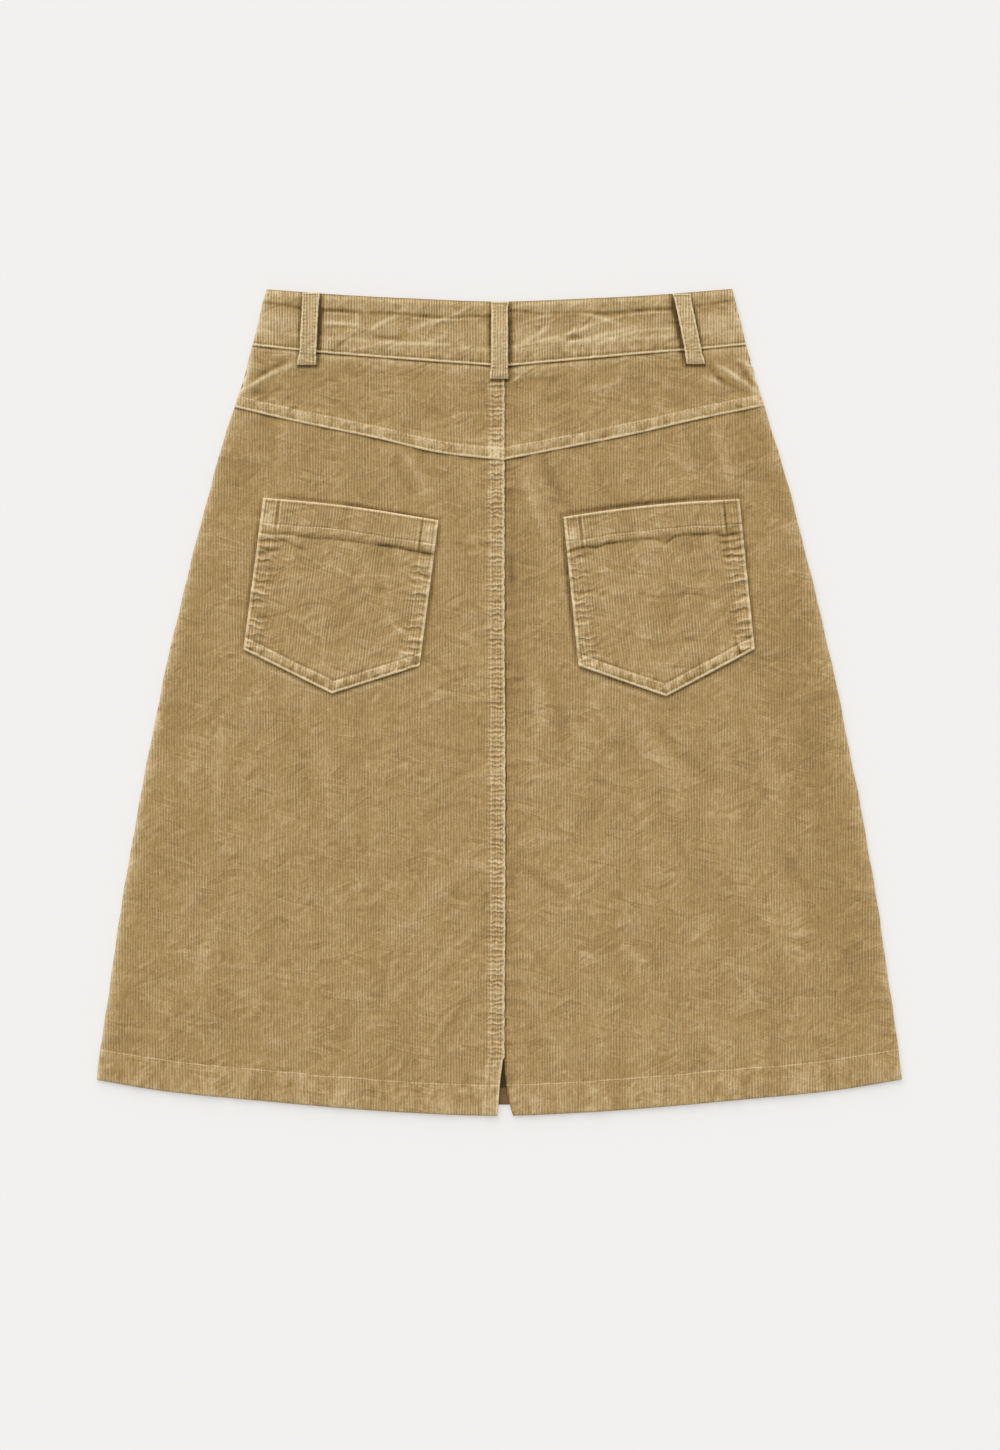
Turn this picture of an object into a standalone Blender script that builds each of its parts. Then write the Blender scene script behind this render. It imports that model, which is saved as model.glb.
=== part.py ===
"""An A-line skirt in fine corduroy, laid flat with its back up.

X runs across the skirt, +Y towards its waist and +Z up from the surface that it lies on. The
origin is on that surface, under the middle of the skirt. Sizes below are in millimetres, and a
mesh gets them in metres.

Each sewn piece is one closed solid. Its outline is a patch with four borders, left, right, bottom
and top, and its upper side is a grid between them. A border carries a profile, which says how far
the cloth rises or dips at each distance in from it: a fold's round edge, a felled seam's ridge or
a hem's double cloth. The front half lies on the surface, the back half lies on the front, and the
pockets and belt loops lie on the back, each clear of what is under it.
"""

from collections import namedtuple
from math import cos, hypot, pi, radians, sin

import bmesh
import bpy
import numpy as np

MM = 0.001

# Driving sizes.
GAP = 0.3
SEAM_X = 4.0
HALF_GAP = GAP / 2

# Heights above the surface, from the front's layers up to the back's.
FRONT_WALL = 1.6
FRONT_BAND_WALL = 2.0
BACK_UNDERSIDE = 2.2
BACK_WALL = 1.8
BAND_UNDERSIDE = FRONT_BAND_WALL + GAP
BAND_WALL = 2.4
POCKET_WALL = 1.5
LOOP_WALL = 1.9
EDGE_WALL = 0.8
UNDER_BEVEL = 0.5

# The belt loops: width, the length tacked down at each end, and the slack under the middle.
LOOP_WIDTH = 12.6
LOOP_TACK = 9.0
LOOP_SLACK = 1.5
LOOP_REACH = 2.2

# The vent at the foot of the centre-back seam, a V that opens towards the hem.
VENT_TOP = -269.9
VENT_FOOT = -314.3
VENT_LEFT = 5.3
VENT_LEFT_BEND = 0.55
VENT_RIGHT = 6.5
VENT_RIGHT_BEND = 2.3

FRONT_HEM_LIFT = 8.4
FRONT_HEM_DEPTH = 12.2
HEM_HALF = 306.0

# The outline: half the skirt's width at each height.
SidePoint = namedtuple("SidePoint", "y half")
SIDE = (
    SidePoint(-315.0, 307.6),
    SidePoint(-286.9, 306.0),
    SidePoint(-218.5, 296.8),
    SidePoint(-157.7, 288.0),
    SidePoint(-96.9, 277.8),
    SidePoint(-36.1, 266.0),
    SidePoint(24.7, 253.8),
    SidePoint(85.5, 239.6),
    SidePoint(146.3, 224.2),
    SidePoint(191.9, 211.7),
    SidePoint(252.7, 193.0),
    SidePoint(283.0, 184.9),
    SidePoint(306.0, 179.3),
    SidePoint(314.3, 176.8),
)

# Lines that run across the skirt, from its left side to its right.
AcrossPoint = namedtuple("AcrossPoint", "x y")
WAIST_EDGE = (
    AcrossPoint(-175.2, 314.0),
    AcrossPoint(-112.0, 309.4),
    AcrossPoint(-60.0, 306.9),
    AcrossPoint(0.0, 304.8),
    AcrossPoint(60.0, 306.9),
    AcrossPoint(112.0, 309.4),
    AcrossPoint(175.2, 314.3),
)
WAIST_SEAM = (
    AcrossPoint(-186.4, 271.1),
    AcrossPoint(-138.0, 266.0),
    AcrossPoint(-88.7, 262.0),
    AcrossPoint(-23.3, 257.3),
    AcrossPoint(SEAM_X, 255.8),
    AcrossPoint(36.3, 258.4),
    AcrossPoint(110.3, 265.0),
    AcrossPoint(155.4, 268.6),
    AcrossPoint(187.5, 271.7),
)
LEFT_YOKE_SEAM = (
    AcrossPoint(-201.4, 224.4),
    AcrossPoint(-164.4, 215.6),
    AcrossPoint(-85.8, 198.9),
    AcrossPoint(-52.7, 190.9),
    AcrossPoint(SEAM_X, 183.8),
)
RIGHT_YOKE_SEAM = (
    AcrossPoint(SEAM_X, 184.4),
    AcrossPoint(55.1, 194.3),
    AcrossPoint(111.8, 205.9),
    AcrossPoint(140.0, 212.6),
    AcrossPoint(200.6, 225.2),
)
HEM_LINE = (
    AcrossPoint(-306.0, -286.9),
    AcrossPoint(-267.5, -293.7),
    AcrossPoint(-181.0, -302.9),
    AcrossPoint(-67.0, -312.0),
    AcrossPoint(0.0, -314.3),
    AcrossPoint(67.0, -311.6),
    AcrossPoint(181.0, -302.3),
    AcrossPoint(267.5, -293.2),
    AcrossPoint(306.0, -286.6),
)

# How far the upper side rises at each distance in from a border.
Step = namedtuple("Step", "inward rise")
PLAIN_EDGE = (Step(0.0, 0.0),)
SIDE_FOLD = (Step(0.0, -1.2), Step(0.7, -0.5), Step(2.2, 0.0))
BACK_HEM = (
    Step(0.0, -0.9),
    Step(0.7, 0.3),
    Step(2.2, 0.6),
    Step(21.4, 0.6),
    Step(22.6, -0.1),
    Step(25.5, 0.0),
)
FELLED_SEAM = (Step(0.0, 0.1), Step(0.8, 0.9), Step(10.6, 0.9), Step(11.8, 0.0))
BESIDE_FELL = (Step(0.0, -0.6), Step(2.6, -0.2), Step(5.5, 0.0))
YOKE_FELL = (Step(0.0, 0.0), Step(0.8, 0.8), Step(8.6, 0.8), Step(9.8, 0.0))
UNDER_YOKE = (Step(0.0, -0.5), Step(2.8, 0.0))
UNDER_BAND = (Step(0.0, -0.4), Step(3.0, 0.0))
BAND_FOOT = (Step(0.0, -0.5), Step(0.8, 0.1), Step(2.6, 0.2), Step(9.0, 0.0))
BAND_EDGE = (
    Step(0.0, -1.5),
    Step(0.7, -0.6),
    Step(2.2, 0.0),
    Step(7.0, 0.1),
    Step(8.8, -0.5),
    Step(10.8, 0.0),
)
FRONT_HEM = (Step(0.0, -0.5), Step(0.7, 0.3), Step(FRONT_HEM_DEPTH, 0.3), Step(13.2, 0.0))
POCKET_MOUTH = (Step(0.0, -0.5), Step(0.8, 0.8), Step(25.6, 0.8), Step(27.2, 0.0))
POCKET_SIDE = (Step(0.0, -0.6), Step(0.9, 0.4), Step(10.6, 0.4), Step(12.0, 0.0))
POCKET_FOOT = (Step(0.0, -0.6), Step(1.0, 0.4), Step(9.6, 0.4), Step(11.2, 0.0))
LOOP_EDGE = (Step(0.0, -0.6), Step(1.3, 0.0))
LOOP_END = (Step(0.0, -0.6), Step(1.0, -0.2), Step(3.0, 0.0))

# Slow waves of the back's cloth: height, waves per metre across and along, and where they start.
Wave = namedtuple("Wave", "height across along start")
WAVES = (
    Wave(0.14, 4.6, 2.1, 0.10),
    Wave(0.12, -2.7, 5.3, 0.35),
    Wave(0.10, 7.9, -3.4, 0.70),
)

# The largest folds, as soft ridges or troughs (a height below 0) between two points.
Fold = namedtuple("Fold", "x1 y1 x2 y2 height spread")
FOLDS = (
    Fold(61.0, 20.0, 152.0, -120.0, 0.65, 14.0),
    Fold(24.0, 57.0, 48.0, -38.0, -0.40, 12.0),
    Fold(150.0, -108.0, 238.0, -197.0, 0.55, 14.0),
    Fold(164.0, -51.0, 238.0, -146.0, -0.40, 14.0),
    Fold(61.0, -140.0, 86.0, -209.0, 0.50, 13.0),
    Fold(20.0, 172.0, 36.0, 120.0, 0.50, 10.0),
    Fold(40.0, 164.0, 47.0, 108.0, -0.35, 10.0),
    Fold(-21.0, -114.0, -110.0, -216.0, 0.60, 13.0),
    Fold(-123.0, -26.0, -132.0, -102.0, 0.50, 12.0),
    Fold(-205.0, -114.0, -224.0, -228.0, 0.50, 13.0),
    Fold(-199.0, 25.0, -218.0, -76.0, 0.40, 12.0),
    Fold(-85.0, 190.0, -59.0, 158.0, 0.40, 10.0),
)

# Each pocket: its top left corner, the tilt of its mouth, its shape down from the mouth, and how
# far the mouth bows up.
Pocket = namedtuple("Pocket", "name x y tilt width left_side right_side foot_x foot_depth bow")
POCKETS = (
    Pocket("pocket_left", -179.4, 155.6, -7.4, 134.4, 116.5, 111.4, 70.9, 141.0, 2.0),
    Pocket("pocket_right", 48.7, 140.9, 5.8, 134.4, 113.9, 114.7, 64.0, 143.6, 2.3),
)

Loop = namedtuple("Loop", "name top_x top_y foot_x foot_y")
LOOPS = (
    Loop("belt_loop_left", -143.1, 311.2, -145.9, 256.5),
    Loop("belt_loop_centre", 0.2, 304.4, 0.2, 245.9),
    Loop("belt_loop_right", 138.5, 310.4, 149.2, 257.1),
)

Cloth = namedtuple("Cloth", "colour roughness")
CORDUROY = Cloth((0.406, 0.273, 0.119), 0.85)
BAND_CLOTH = Cloth((0.432, 0.305, 0.144), 0.85)
POCKET_CLOTH = Cloth((0.418, 0.286, 0.128), 0.85)
LOOP_CLOTH = Cloth((0.546, 0.407, 0.223), 0.85)

Patch = namedtuple(
    "Patch",
    "name left right bottom top left_rim right_rim bottom_rim top_rim underside wall sways "
    "across along cloth middle",
    defaults=(0.5,),
)


def smooth_line(points):
    """A smooth curve through a table's rows, as a function of its first column."""
    knots, values = np.array(points).T
    slopes = np.gradient(values, knots)

    def at(place):
        place = min(max(place, knots[0]), knots[-1])
        i = int(np.clip(np.searchsorted(knots, place) - 1, 0, len(knots) - 2))
        span = knots[i + 1] - knots[i]
        t = (place - knots[i]) / span
        start = (1 + 2 * t) * (1 - t) ** 2 * values[i] + t * (1 - t) ** 2 * span * slopes[i]
        end = t * t * (3 - 2 * t) * values[i + 1] + t * t * (t - 1) * span * slopes[i + 1]
        return float(start + end)

    return at


side_half = smooth_line(SIDE)
waist_edge = smooth_line(WAIST_EDGE)
waist_seam = smooth_line(WAIST_SEAM)
left_yoke_seam = smooth_line(LEFT_YOKE_SEAM)
right_yoke_seam = smooth_line(RIGHT_YOKE_SEAM)
hem_line = smooth_line(HEM_LINE)


def yoke_seam(x):
    """The back yoke's lower seam, a shallow V that meets at the centre-back seam."""
    return left_yoke_seam(x) if x < SEAM_X else right_yoke_seam(x)


def front_hem(x):
    """The front's hem, which ends short of the back's in the middle and meets it at the sides."""
    return hem_line(x) + FRONT_HEM_LIFT * (1 - (x / HEM_HALF) ** 2)


def vent_share(y):
    """How far down the vent a height is, from 0 at its top to 1 at the hem."""
    return min(max((VENT_TOP - y) / (VENT_TOP - VENT_FOOT), 0.0), 1.0)


def seam_left(y):
    """The centre-back edge of the left half."""
    return SEAM_X - HALF_GAP - VENT_LEFT * vent_share(y) ** VENT_LEFT_BEND


def seam_right(y):
    """The centre-back edge of the right half."""
    return SEAM_X + HALF_GAP + VENT_RIGHT * vent_share(y) ** VENT_RIGHT_BEND


def sway(x, y):
    """How far the back's cloth rises or falls in its slow waves and its largest folds."""
    rise = sum(
        w.height * sin(2 * pi * ((w.across * x + w.along * y) * MM + w.start)) for w in WAVES
    )
    for fold in FOLDS:
        run_x, run_y = fold.x2 - fold.x1, fold.y2 - fold.y1
        length = hypot(run_x, run_y)
        along = ((x - fold.x1) * run_x + (y - fold.y1) * run_y) / length
        across = ((x - fold.x1) * run_y - (y - fold.y1) * run_x) / length
        past = max(-along, along - length, 0.0)
        rise += fold.height * np.exp(-(across**2 + past**2) / (2 * fold.spread**2))
    return float(rise)


def rim_rise(rim, inward):
    """A border profile's rise at a distance in from the border."""
    return float(np.interp(inward, [step.inward for step in rim], [step.rise for step in rim]))


def underside_at(patch, x, y):
    """The height of a patch's lower side, which is level or follows what it lies on."""
    return patch.underside(x, y) if callable(patch.underside) else patch.underside


def top_at(patch, x, y):
    """The height of a patch's upper side."""
    low = underside_at(patch, x, y)
    rise = (
        rim_rise(patch.left_rim, x - patch.left(y))
        + rim_rise(patch.right_rim, patch.right(y) - x)
        + rim_rise(patch.bottom_rim, y - patch.bottom(x))
        + rim_rise(patch.top_rim, patch.top(x) - y)
    )
    if patch.sways:
        rise += sway(x, y)
    return low + max(patch.wall + rise, EDGE_WALL)


def stations(low_rim, high_rim, spans, middle=0.5):
    """Where a grid's lines cross between two borders, as a share of the way and an offset.

    There is a line at each step of both profiles. Between them the spans are even, or shift so
    that the middle line stands at a given share.
    """
    first, last = low_rim[-1].inward, high_rim[-1].inward
    lines = [(0.0, step.inward) for step in low_rim[:-1]]
    for i in range(spans + 1):
        even = i / spans
        share = even + 4 * even * (1 - even) * (middle - 0.5)
        lines.append((share, first * (1 - share) - last * share))
    return lines + [(1.0, -step.inward) for step in reversed(high_rim[:-1])]


def crossing(patch, column, row):
    """The point where a grid's column and row cross, found by turns because each bends."""
    x = y = 0.0
    for _ in range(12):
        low, high = patch.bottom(x), patch.top(x)
        y = low + row[0] * (high - low) + row[1]
        low, high = patch.left(y), patch.right(y)
        x = low + column[0] * (high - low) + column[1]
    return x, y


def material_of(cloth, name):
    """A matt cloth material."""
    material = bpy.data.materials.new(name + "_cloth")
    material.use_nodes = True
    shader = material.node_tree.nodes["Principled BSDF"]
    shader.inputs["Base Color"].default_value = (*cloth.colour, 1.0)
    shader.inputs["Roughness"].default_value = cloth.roughness
    shader.inputs["Metallic"].default_value = 0.0
    material.diffuse_color = (*cloth.colour, 1.0)
    return material


def cloth_mesh(patch, place=None, bevelled=False):
    """The closed solid of a patch: its grid is the lower side, extruded up to the upper side.

    A level lower side becomes one plain face. place moves a point of a patch that is drawn in its
    own axes to where it lies on the skirt.
    """
    columns = stations(patch.left_rim, patch.right_rim, patch.across, patch.middle)
    rows = stations(patch.bottom_rim, patch.top_rim, patch.along)
    bm = bmesh.new()
    bmesh.ops.create_grid(bm, x_segments=len(columns) - 1, y_segments=len(rows) - 1, size=1.0)
    lower = list(bm.verts)
    crossings = {}
    for vert in lower:
        i = round((vert.co.x + 1) / 2 * (len(columns) - 1))
        j = round((vert.co.y + 1) / 2 * (len(rows) - 1))
        crossings[vert] = crossing(patch, columns[i], rows[j])
    floor_faces = list(bm.faces)
    raised = bmesh.ops.extrude_face_region(bm, geom=floor_faces, use_keep_orig=True)
    upper = [item for item in raised["geom"] if isinstance(item, bmesh.types.BMVert)]
    at_grid = {tuple(round(c, 5) for c in vert.co): crossings[vert] for vert in lower}
    for vert in upper:
        x, y = at_grid[tuple(round(c, 5) for c in vert.co)]
        vert.co = (x, y, top_at(patch, x, y))
    for vert, (x, y) in crossings.items():
        vert.co = (x, y, underside_at(patch, x, y))
    if not callable(patch.underside):
        bmesh.ops.dissolve_faces(bm, faces=floor_faces)
    if bevelled:
        rim = [edge for edge in bm.edges if all(v.co.z < patch.underside + 0.01 for v in edge.verts)]
        bmesh.ops.bevel(
            bm,
            geom=rim,
            offset=UNDER_BEVEL,
            segments=1,
            profile=0.5,
            material=-1,
            affect="EDGES",
        )
    if place is not None:
        for vert in bm.verts:
            vert.co = (*place(vert.co.x, vert.co.y), vert.co.z)
    bmesh.ops.scale(bm, verts=bm.verts, vec=(MM, MM, MM))
    bmesh.ops.recalc_face_normals(bm, faces=bm.faces)
    mesh = bpy.data.meshes.new(patch.name)
    bm.to_mesh(mesh)
    bm.free()
    return mesh


def sew(patch, place=None, bevelled=False):
    """Adds a patch to the scene as a named object with its own material."""
    mesh = cloth_mesh(patch, place, bevelled)
    mesh.materials.append(material_of(patch.cloth, patch.name))
    mesh.shade_smooth()
    mesh.set_sharp_from_angle(angle=radians(35))
    piece = bpy.data.objects.new(patch.name, mesh)
    bpy.context.collection.objects.link(piece)
    return piece


def left_side(y):
    return -side_half(y)


def below(line):
    """A line moved down by half a seam's gap."""
    return lambda x: line(x) - HALF_GAP


def above(line):
    """A line moved up by half a seam's gap."""
    return lambda x: line(x) + HALF_GAP


def front_half():
    """The front's waistband and panel, plain, with their lower sides level on the surface."""
    band = Patch(
        name="waistband_front",
        left=left_side,
        right=side_half,
        bottom=above(waist_seam),
        top=waist_edge,
        left_rim=PLAIN_EDGE,
        right_rim=PLAIN_EDGE,
        bottom_rim=PLAIN_EDGE,
        top_rim=PLAIN_EDGE,
        underside=0.0,
        wall=FRONT_BAND_WALL,
        sways=False,
        across=20,
        along=4,
        cloth=BAND_CLOTH,
    )
    panel = band._replace(
        name="front_panel",
        bottom=front_hem,
        top=below(waist_seam),
        bottom_rim=FRONT_HEM,
        wall=FRONT_WALL,
        across=18,
        along=20,
        cloth=CORDUROY,
    )
    return [sew(patch, bevelled=True) for patch in (band, panel)]


def back_patches():
    """The back's five pieces: the waistband, and a yoke and a panel each side of the seam."""
    band = Patch(
        name="waistband_back",
        left=left_side,
        right=side_half,
        bottom=above(waist_seam),
        top=waist_edge,
        left_rim=SIDE_FOLD,
        right_rim=SIDE_FOLD,
        bottom_rim=BAND_FOOT,
        top_rim=BAND_EDGE,
        underside=BAND_UNDERSIDE,
        wall=BAND_WALL,
        sways=False,
        across=28,
        along=3,
        cloth=BAND_CLOTH,
    )
    yoke_left = band._replace(
        name="yoke_left",
        right=seam_left,
        bottom=above(yoke_seam),
        top=below(waist_seam),
        right_rim=FELLED_SEAM,
        bottom_rim=YOKE_FELL,
        top_rim=UNDER_BAND,
        underside=BACK_UNDERSIDE,
        wall=BACK_WALL,
        sways=True,
        across=14,
        along=4,
        cloth=CORDUROY,
    )
    yoke_right = yoke_left._replace(
        name="yoke_right",
        left=seam_right,
        right=side_half,
        left_rim=BESIDE_FELL,
        right_rim=SIDE_FOLD,
    )
    back_left = yoke_left._replace(
        name="back_left",
        bottom=hem_line,
        top=below(yoke_seam),
        bottom_rim=BACK_HEM,
        top_rim=UNDER_YOKE,
        across=18,
        along=32,
    )
    back_right = back_left._replace(
        name="back_right",
        left=seam_right,
        right=side_half,
        left_rim=BESIDE_FELL,
        right_rim=SIDE_FOLD,
    )
    return {patch.name: patch for patch in (band, yoke_left, yoke_right, back_left, back_right)}


def pocket_patch(pocket, panel):
    """A pointed patch pocket in its own axes, with x along its mouth and y down from it."""
    turn = radians(pocket.tilt)

    def place(x, y):
        return pocket.x + x * cos(turn) - y * sin(turn), pocket.y + x * sin(turn) + y * cos(turn)

    def foot(x):
        if x < pocket.foot_x:
            share = x / pocket.foot_x
            return -pocket.left_side - share * (pocket.foot_depth - pocket.left_side)
        share = (pocket.width - x) / (pocket.width - pocket.foot_x)
        return -pocket.right_side - share * (pocket.foot_depth - pocket.right_side)

    def mouth(x):
        return pocket.bow * sin(pi * min(max(x / pocket.width, 0.0), 1.0))

    seams = POCKET_SIDE[-1].inward
    patch = Patch(
        name=pocket.name,
        left=lambda y: 0.0,
        right=lambda y: pocket.width,
        bottom=foot,
        top=mouth,
        left_rim=POCKET_SIDE,
        right_rim=POCKET_SIDE,
        bottom_rim=POCKET_FOOT,
        top_rim=POCKET_MOUTH,
        underside=lambda x, y: top_at(panel, *place(x, y)) + GAP,
        wall=POCKET_WALL,
        sways=False,
        across=8,
        along=8,
        cloth=POCKET_CLOTH,
        middle=(pocket.foot_x - seams) / (pocket.width - 2 * seams),
    )
    return patch, place


def loop_patch(loop, back):
    """A belt loop, tacked down at both ends, with some slack over the waistband between them."""
    rise = (loop.top_x - loop.foot_x) / (loop.top_y - loop.foot_y)

    def cloth_below(x, y):
        band, left, right = back["waistband_back"], back["yoke_left"], back["yoke_right"]
        reach = (-LOOP_REACH, 0.0, LOOP_REACH)
        heights = []
        for px in (x + step for step in reach):
            for py in (y + step for step in reach):
                yoke = left if px < SEAM_X else right
                heights.append(top_at(band if py > waist_seam(px) else yoke, px, py))
        return max(heights)

    def underside(x, y):
        from_end = min(y - loop.foot_y, loop.top_y - y) - LOOP_TACK
        half = (loop.top_y - loop.foot_y) / 2 - LOOP_TACK
        slack = LOOP_SLACK * sin(pi / 2 * min(max(from_end / half, 0.0), 1.0))
        return cloth_below(x, y) + GAP + slack

    return Patch(
        name=loop.name,
        left=lambda y: loop.foot_x + rise * (y - loop.foot_y) - LOOP_WIDTH / 2,
        right=lambda y: loop.foot_x + rise * (y - loop.foot_y) + LOOP_WIDTH / 2,
        bottom=lambda x: loop.foot_y,
        top=lambda x: loop.top_y,
        left_rim=LOOP_EDGE,
        right_rim=LOOP_EDGE,
        bottom_rim=LOOP_END,
        top_rim=LOOP_END,
        underside=underside,
        wall=LOOP_WALL,
        sways=False,
        across=2,
        along=16,
        cloth=LOOP_CLOTH,
    )


def main():
    for item in list(bpy.data.objects):
        bpy.data.objects.remove(item)
    front_half()
    back = back_patches()
    for patch in back.values():
        sew(patch)
    for pocket, side in zip(POCKETS, ("back_left", "back_right")):
        patch, place = pocket_patch(pocket, back[side])
        sew(patch, place)
    for loop in LOOPS:
        sew(loop_patch(loop, back))


main()
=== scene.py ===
"""An A-line skirt in fine corduroy, laid flat with its back up: its cloth, seams and stitching.

X runs across the skirt, +Y towards its waist and +Z up from the surface that it lies on. Sizes in
the tables are in millimetres, and a mesh gets them in metres.

Each sewn piece is a patch with four borders. Its upper side is a fine grid between them. A border
carries a profile, which says how far the cloth rises or dips at each distance in from it, how
much paler it has worn there and how much painted shade darkens it there. Puckers run in from the
sewn borders, creases cross the cloth, and one vertex attribute holds the cloth's own grain, which
the wales follow.
"""

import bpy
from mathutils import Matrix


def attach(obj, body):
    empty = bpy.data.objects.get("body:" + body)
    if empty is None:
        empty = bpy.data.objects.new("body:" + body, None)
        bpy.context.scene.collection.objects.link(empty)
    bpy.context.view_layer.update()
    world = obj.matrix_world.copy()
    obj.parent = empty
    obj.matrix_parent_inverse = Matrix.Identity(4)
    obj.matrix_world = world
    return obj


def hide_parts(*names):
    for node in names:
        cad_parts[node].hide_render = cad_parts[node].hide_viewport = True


bl_info = {
    "name": "Corduroy A-line Skirt",
    "version": (1, 0, 0),
    "blender": (4, 5, 0),
    "location": "View3D > Sidebar > Skirt",
    "description": "Builds a fine corduroy A-line skirt that lies flat with its back up",
    "category": "Object",
}

from collections import namedtuple
from math import cos, hypot, pi, radians, sin

import bmesh
import bpy
import numpy as np
from mathutils import Matrix, Vector

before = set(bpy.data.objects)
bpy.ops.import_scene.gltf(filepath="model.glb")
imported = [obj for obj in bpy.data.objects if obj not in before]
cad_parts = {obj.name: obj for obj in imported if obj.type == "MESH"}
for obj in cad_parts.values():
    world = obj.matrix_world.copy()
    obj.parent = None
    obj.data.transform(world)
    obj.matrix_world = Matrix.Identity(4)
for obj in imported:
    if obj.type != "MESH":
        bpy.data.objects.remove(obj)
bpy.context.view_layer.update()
BODY = "root"
MM = 0.001
SHARP_ANGLE = radians(60)
CROSSING_TURNS = 12

# Sizes of the sewn pieces, as the solids have them.
GAP = 0.3
SEAM_X = 4.0
SEAM_BOW = 0.6
SEAM_BOW_Y = -96.0
SEAM_BOW_HALF = 112.0
SEAM_RIPPLES = ((0.1, 4.1), (0.2, 11.7))
SEAM_RIPPLE_FADE = 6.0
HALF_GAP = 0.03
FRONT_WALL = 1.6
FRONT_BAND_WALL = 2.0
BACK_UNDERSIDE = 2.2
BACK_WALL = 1.8
BAND_UNDERSIDE = FRONT_BAND_WALL + GAP
BAND_WALL = 2.4
POCKET_WALL = 1.5
LOOP_WALL = 1.9
EDGE_WALL = 0.8
LOOP_WIDTH = 12.6
LOOP_TACK = 9.0
LOOP_SLACK = 1.5
LOOP_REACH = 2.2
LOOP_CUT = 62.0
VENT_TOP = -269.9
VENT_FOOT = -314.3
VENT_LEFT = 5.3
VENT_LEFT_BEND = 0.55
VENT_RIGHT = 6.5
VENT_RIGHT_BEND = 2.3
FRONT_HEM_LIFT = 8.4
FRONT_HEM_DEPTH = 12.2
HEM_HALF = 306.0

# The stage, in metres, and its soft key light.
FLOOR_HALF = 3.0
KEY_ANGLE = radians(70)
KEY_FROM = (-0.27, 0.92, 0.85)
LENS = 85.0
CAMERA_AT = (0.0005, -0.0171, 2.606)


def table(kind, *rows):
    """Rows of plain values as named tuples of one kind."""
    return tuple(kind(*row) for row in rows)


SidePoint = namedtuple("SidePoint", "y half")
SIDE = table(
    SidePoint,
    (-315, 307.6), (-286.9, 306), (-218.5, 296.8), (-157.7, 288), (-96.9, 277.8), (-36.1, 266),
    (24.7, 253.8), (85.5, 239.6), (146.3, 224.2), (191.9, 211.7), (252.7, 193), (283, 184.9),
    (306, 179.3), (314.3, 176.8),
)
AcrossPoint = namedtuple("AcrossPoint", "x y")
WAIST_EDGE = table(
    AcrossPoint,
    (-175.2, 314), (-112, 309.4), (-60, 306.9), (0, 304.8), (60, 306.9), (112, 309.4),
    (175.2, 314.3),
)
WAIST_SEAM = table(
    AcrossPoint,
    (-186.4, 271.1), (-138, 266), (-88.7, 262), (-23.3, 257.3), (SEAM_X, 255.8), (36.3, 258.4),
    (110.3, 265), (155.4, 268.6), (187.5, 271.7),
)
LEFT_YOKE_SEAM = table(
    AcrossPoint,
    (-201.4, 224.4), (-164.4, 215.6), (-85.8, 198.9), (-52.7, 190.9), (SEAM_X, 183.8),
)
RIGHT_YOKE_SEAM = table(
    AcrossPoint,
    (SEAM_X, 184.4), (55.1, 194.3), (111.8, 205.9), (140, 212.6), (200.6, 225.2),
)
HEM_LINE = table(
    AcrossPoint,
    (-306, -286.9), (-267.5, -293.7), (-181, -302.9), (-67, -312), (0, -314.3), (67, -311.6),
    (181, -302.3), (267.5, -293.2), (306, -286.6),
)

# A border's profile: the cloth's rise at each distance in from it, and its tone there, from -1
# where painted shade darkens it as a seam's shadow would to 1 where its pile has worn off.
Step = namedtuple("Step", "inward rise tone")
PLAIN_EDGE = (Step(0.0, 0.0, 0.0),)
# The sides' fold edges are paler, and a little further in painted shade darkens them slightly.
SIDE_FOLD = table(
    Step,
    (0, -1, 0.5), (0.7, -0.45, 0.5), (1.6, -0.1, 0.44), (2.3, 0, 0.33), (3, 0, 0.24),
    (4.5, 0, 0.15), (6, 0, 0.1), (8.5, 0, 0.03), (12, 0, -0.03), (30, 0, -0.05), (42, 0, 0),
)
RIGHT_FOLD = table(
    Step,
    (0, -1, 0.35), (0.7, -0.45, 0.3), (1.6, -0.1, 0.22), (3, 0, 0.17), (4.5, 0, 0.08), (6, 0, 0.02),
    (12, 0, -0.03), (30, 0, -0.05), (42, 0, 0),
)
BACK_HEM = table(
    Step,
    (0, -0.9, 0.2), (0.7, 0.1, 0.3), (1.6, 0.3, 0.15), (5, 0.35, 0.12), (20, 0.3, 0.1),
    (22.1, 0.25, 0.08), (22.7, 0.1, -0.12), (23.1, 0.05, 0.35), (23.4, 0.05, 1), (23.7, 0.05, 0.35),
    (24.1, 0.05, -0.12), (25.2, 0, -0.03), (27.5, 0, 0),
)
FELLED_SEAM = table(
    Step,
    (0, 0.3, 0.9), (0.6, 0.9, 1.4), (1.2, 0.9, 1.2), (1.8, 0.75, 0.3), (2.6, 0.85, 0.15),
    (5.6, 0.9, 0.25), (7.6, 0.85, 0.25), (8.4, 0.7, 0.05), (9.4, 0.8, 0.2), (10.4, 0.75, 0.35),
    (11.1, 0.5, 0.4), (11.8, 0.15, 0.1), (12.6, 0, 0.04), (14.5, 0, 0),
)
BESIDE_FELL = table(
    Step,
    (0, -0.6, -0.85), (0.6, -0.5, -0.75), (1.2, -0.3, -0.4), (2, -0.15, -0.2), (3, -0.1, -0.14),
    (4.5, 0, -0.1), (8, 0, -0.05), (13, 0, 0),
)
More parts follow.
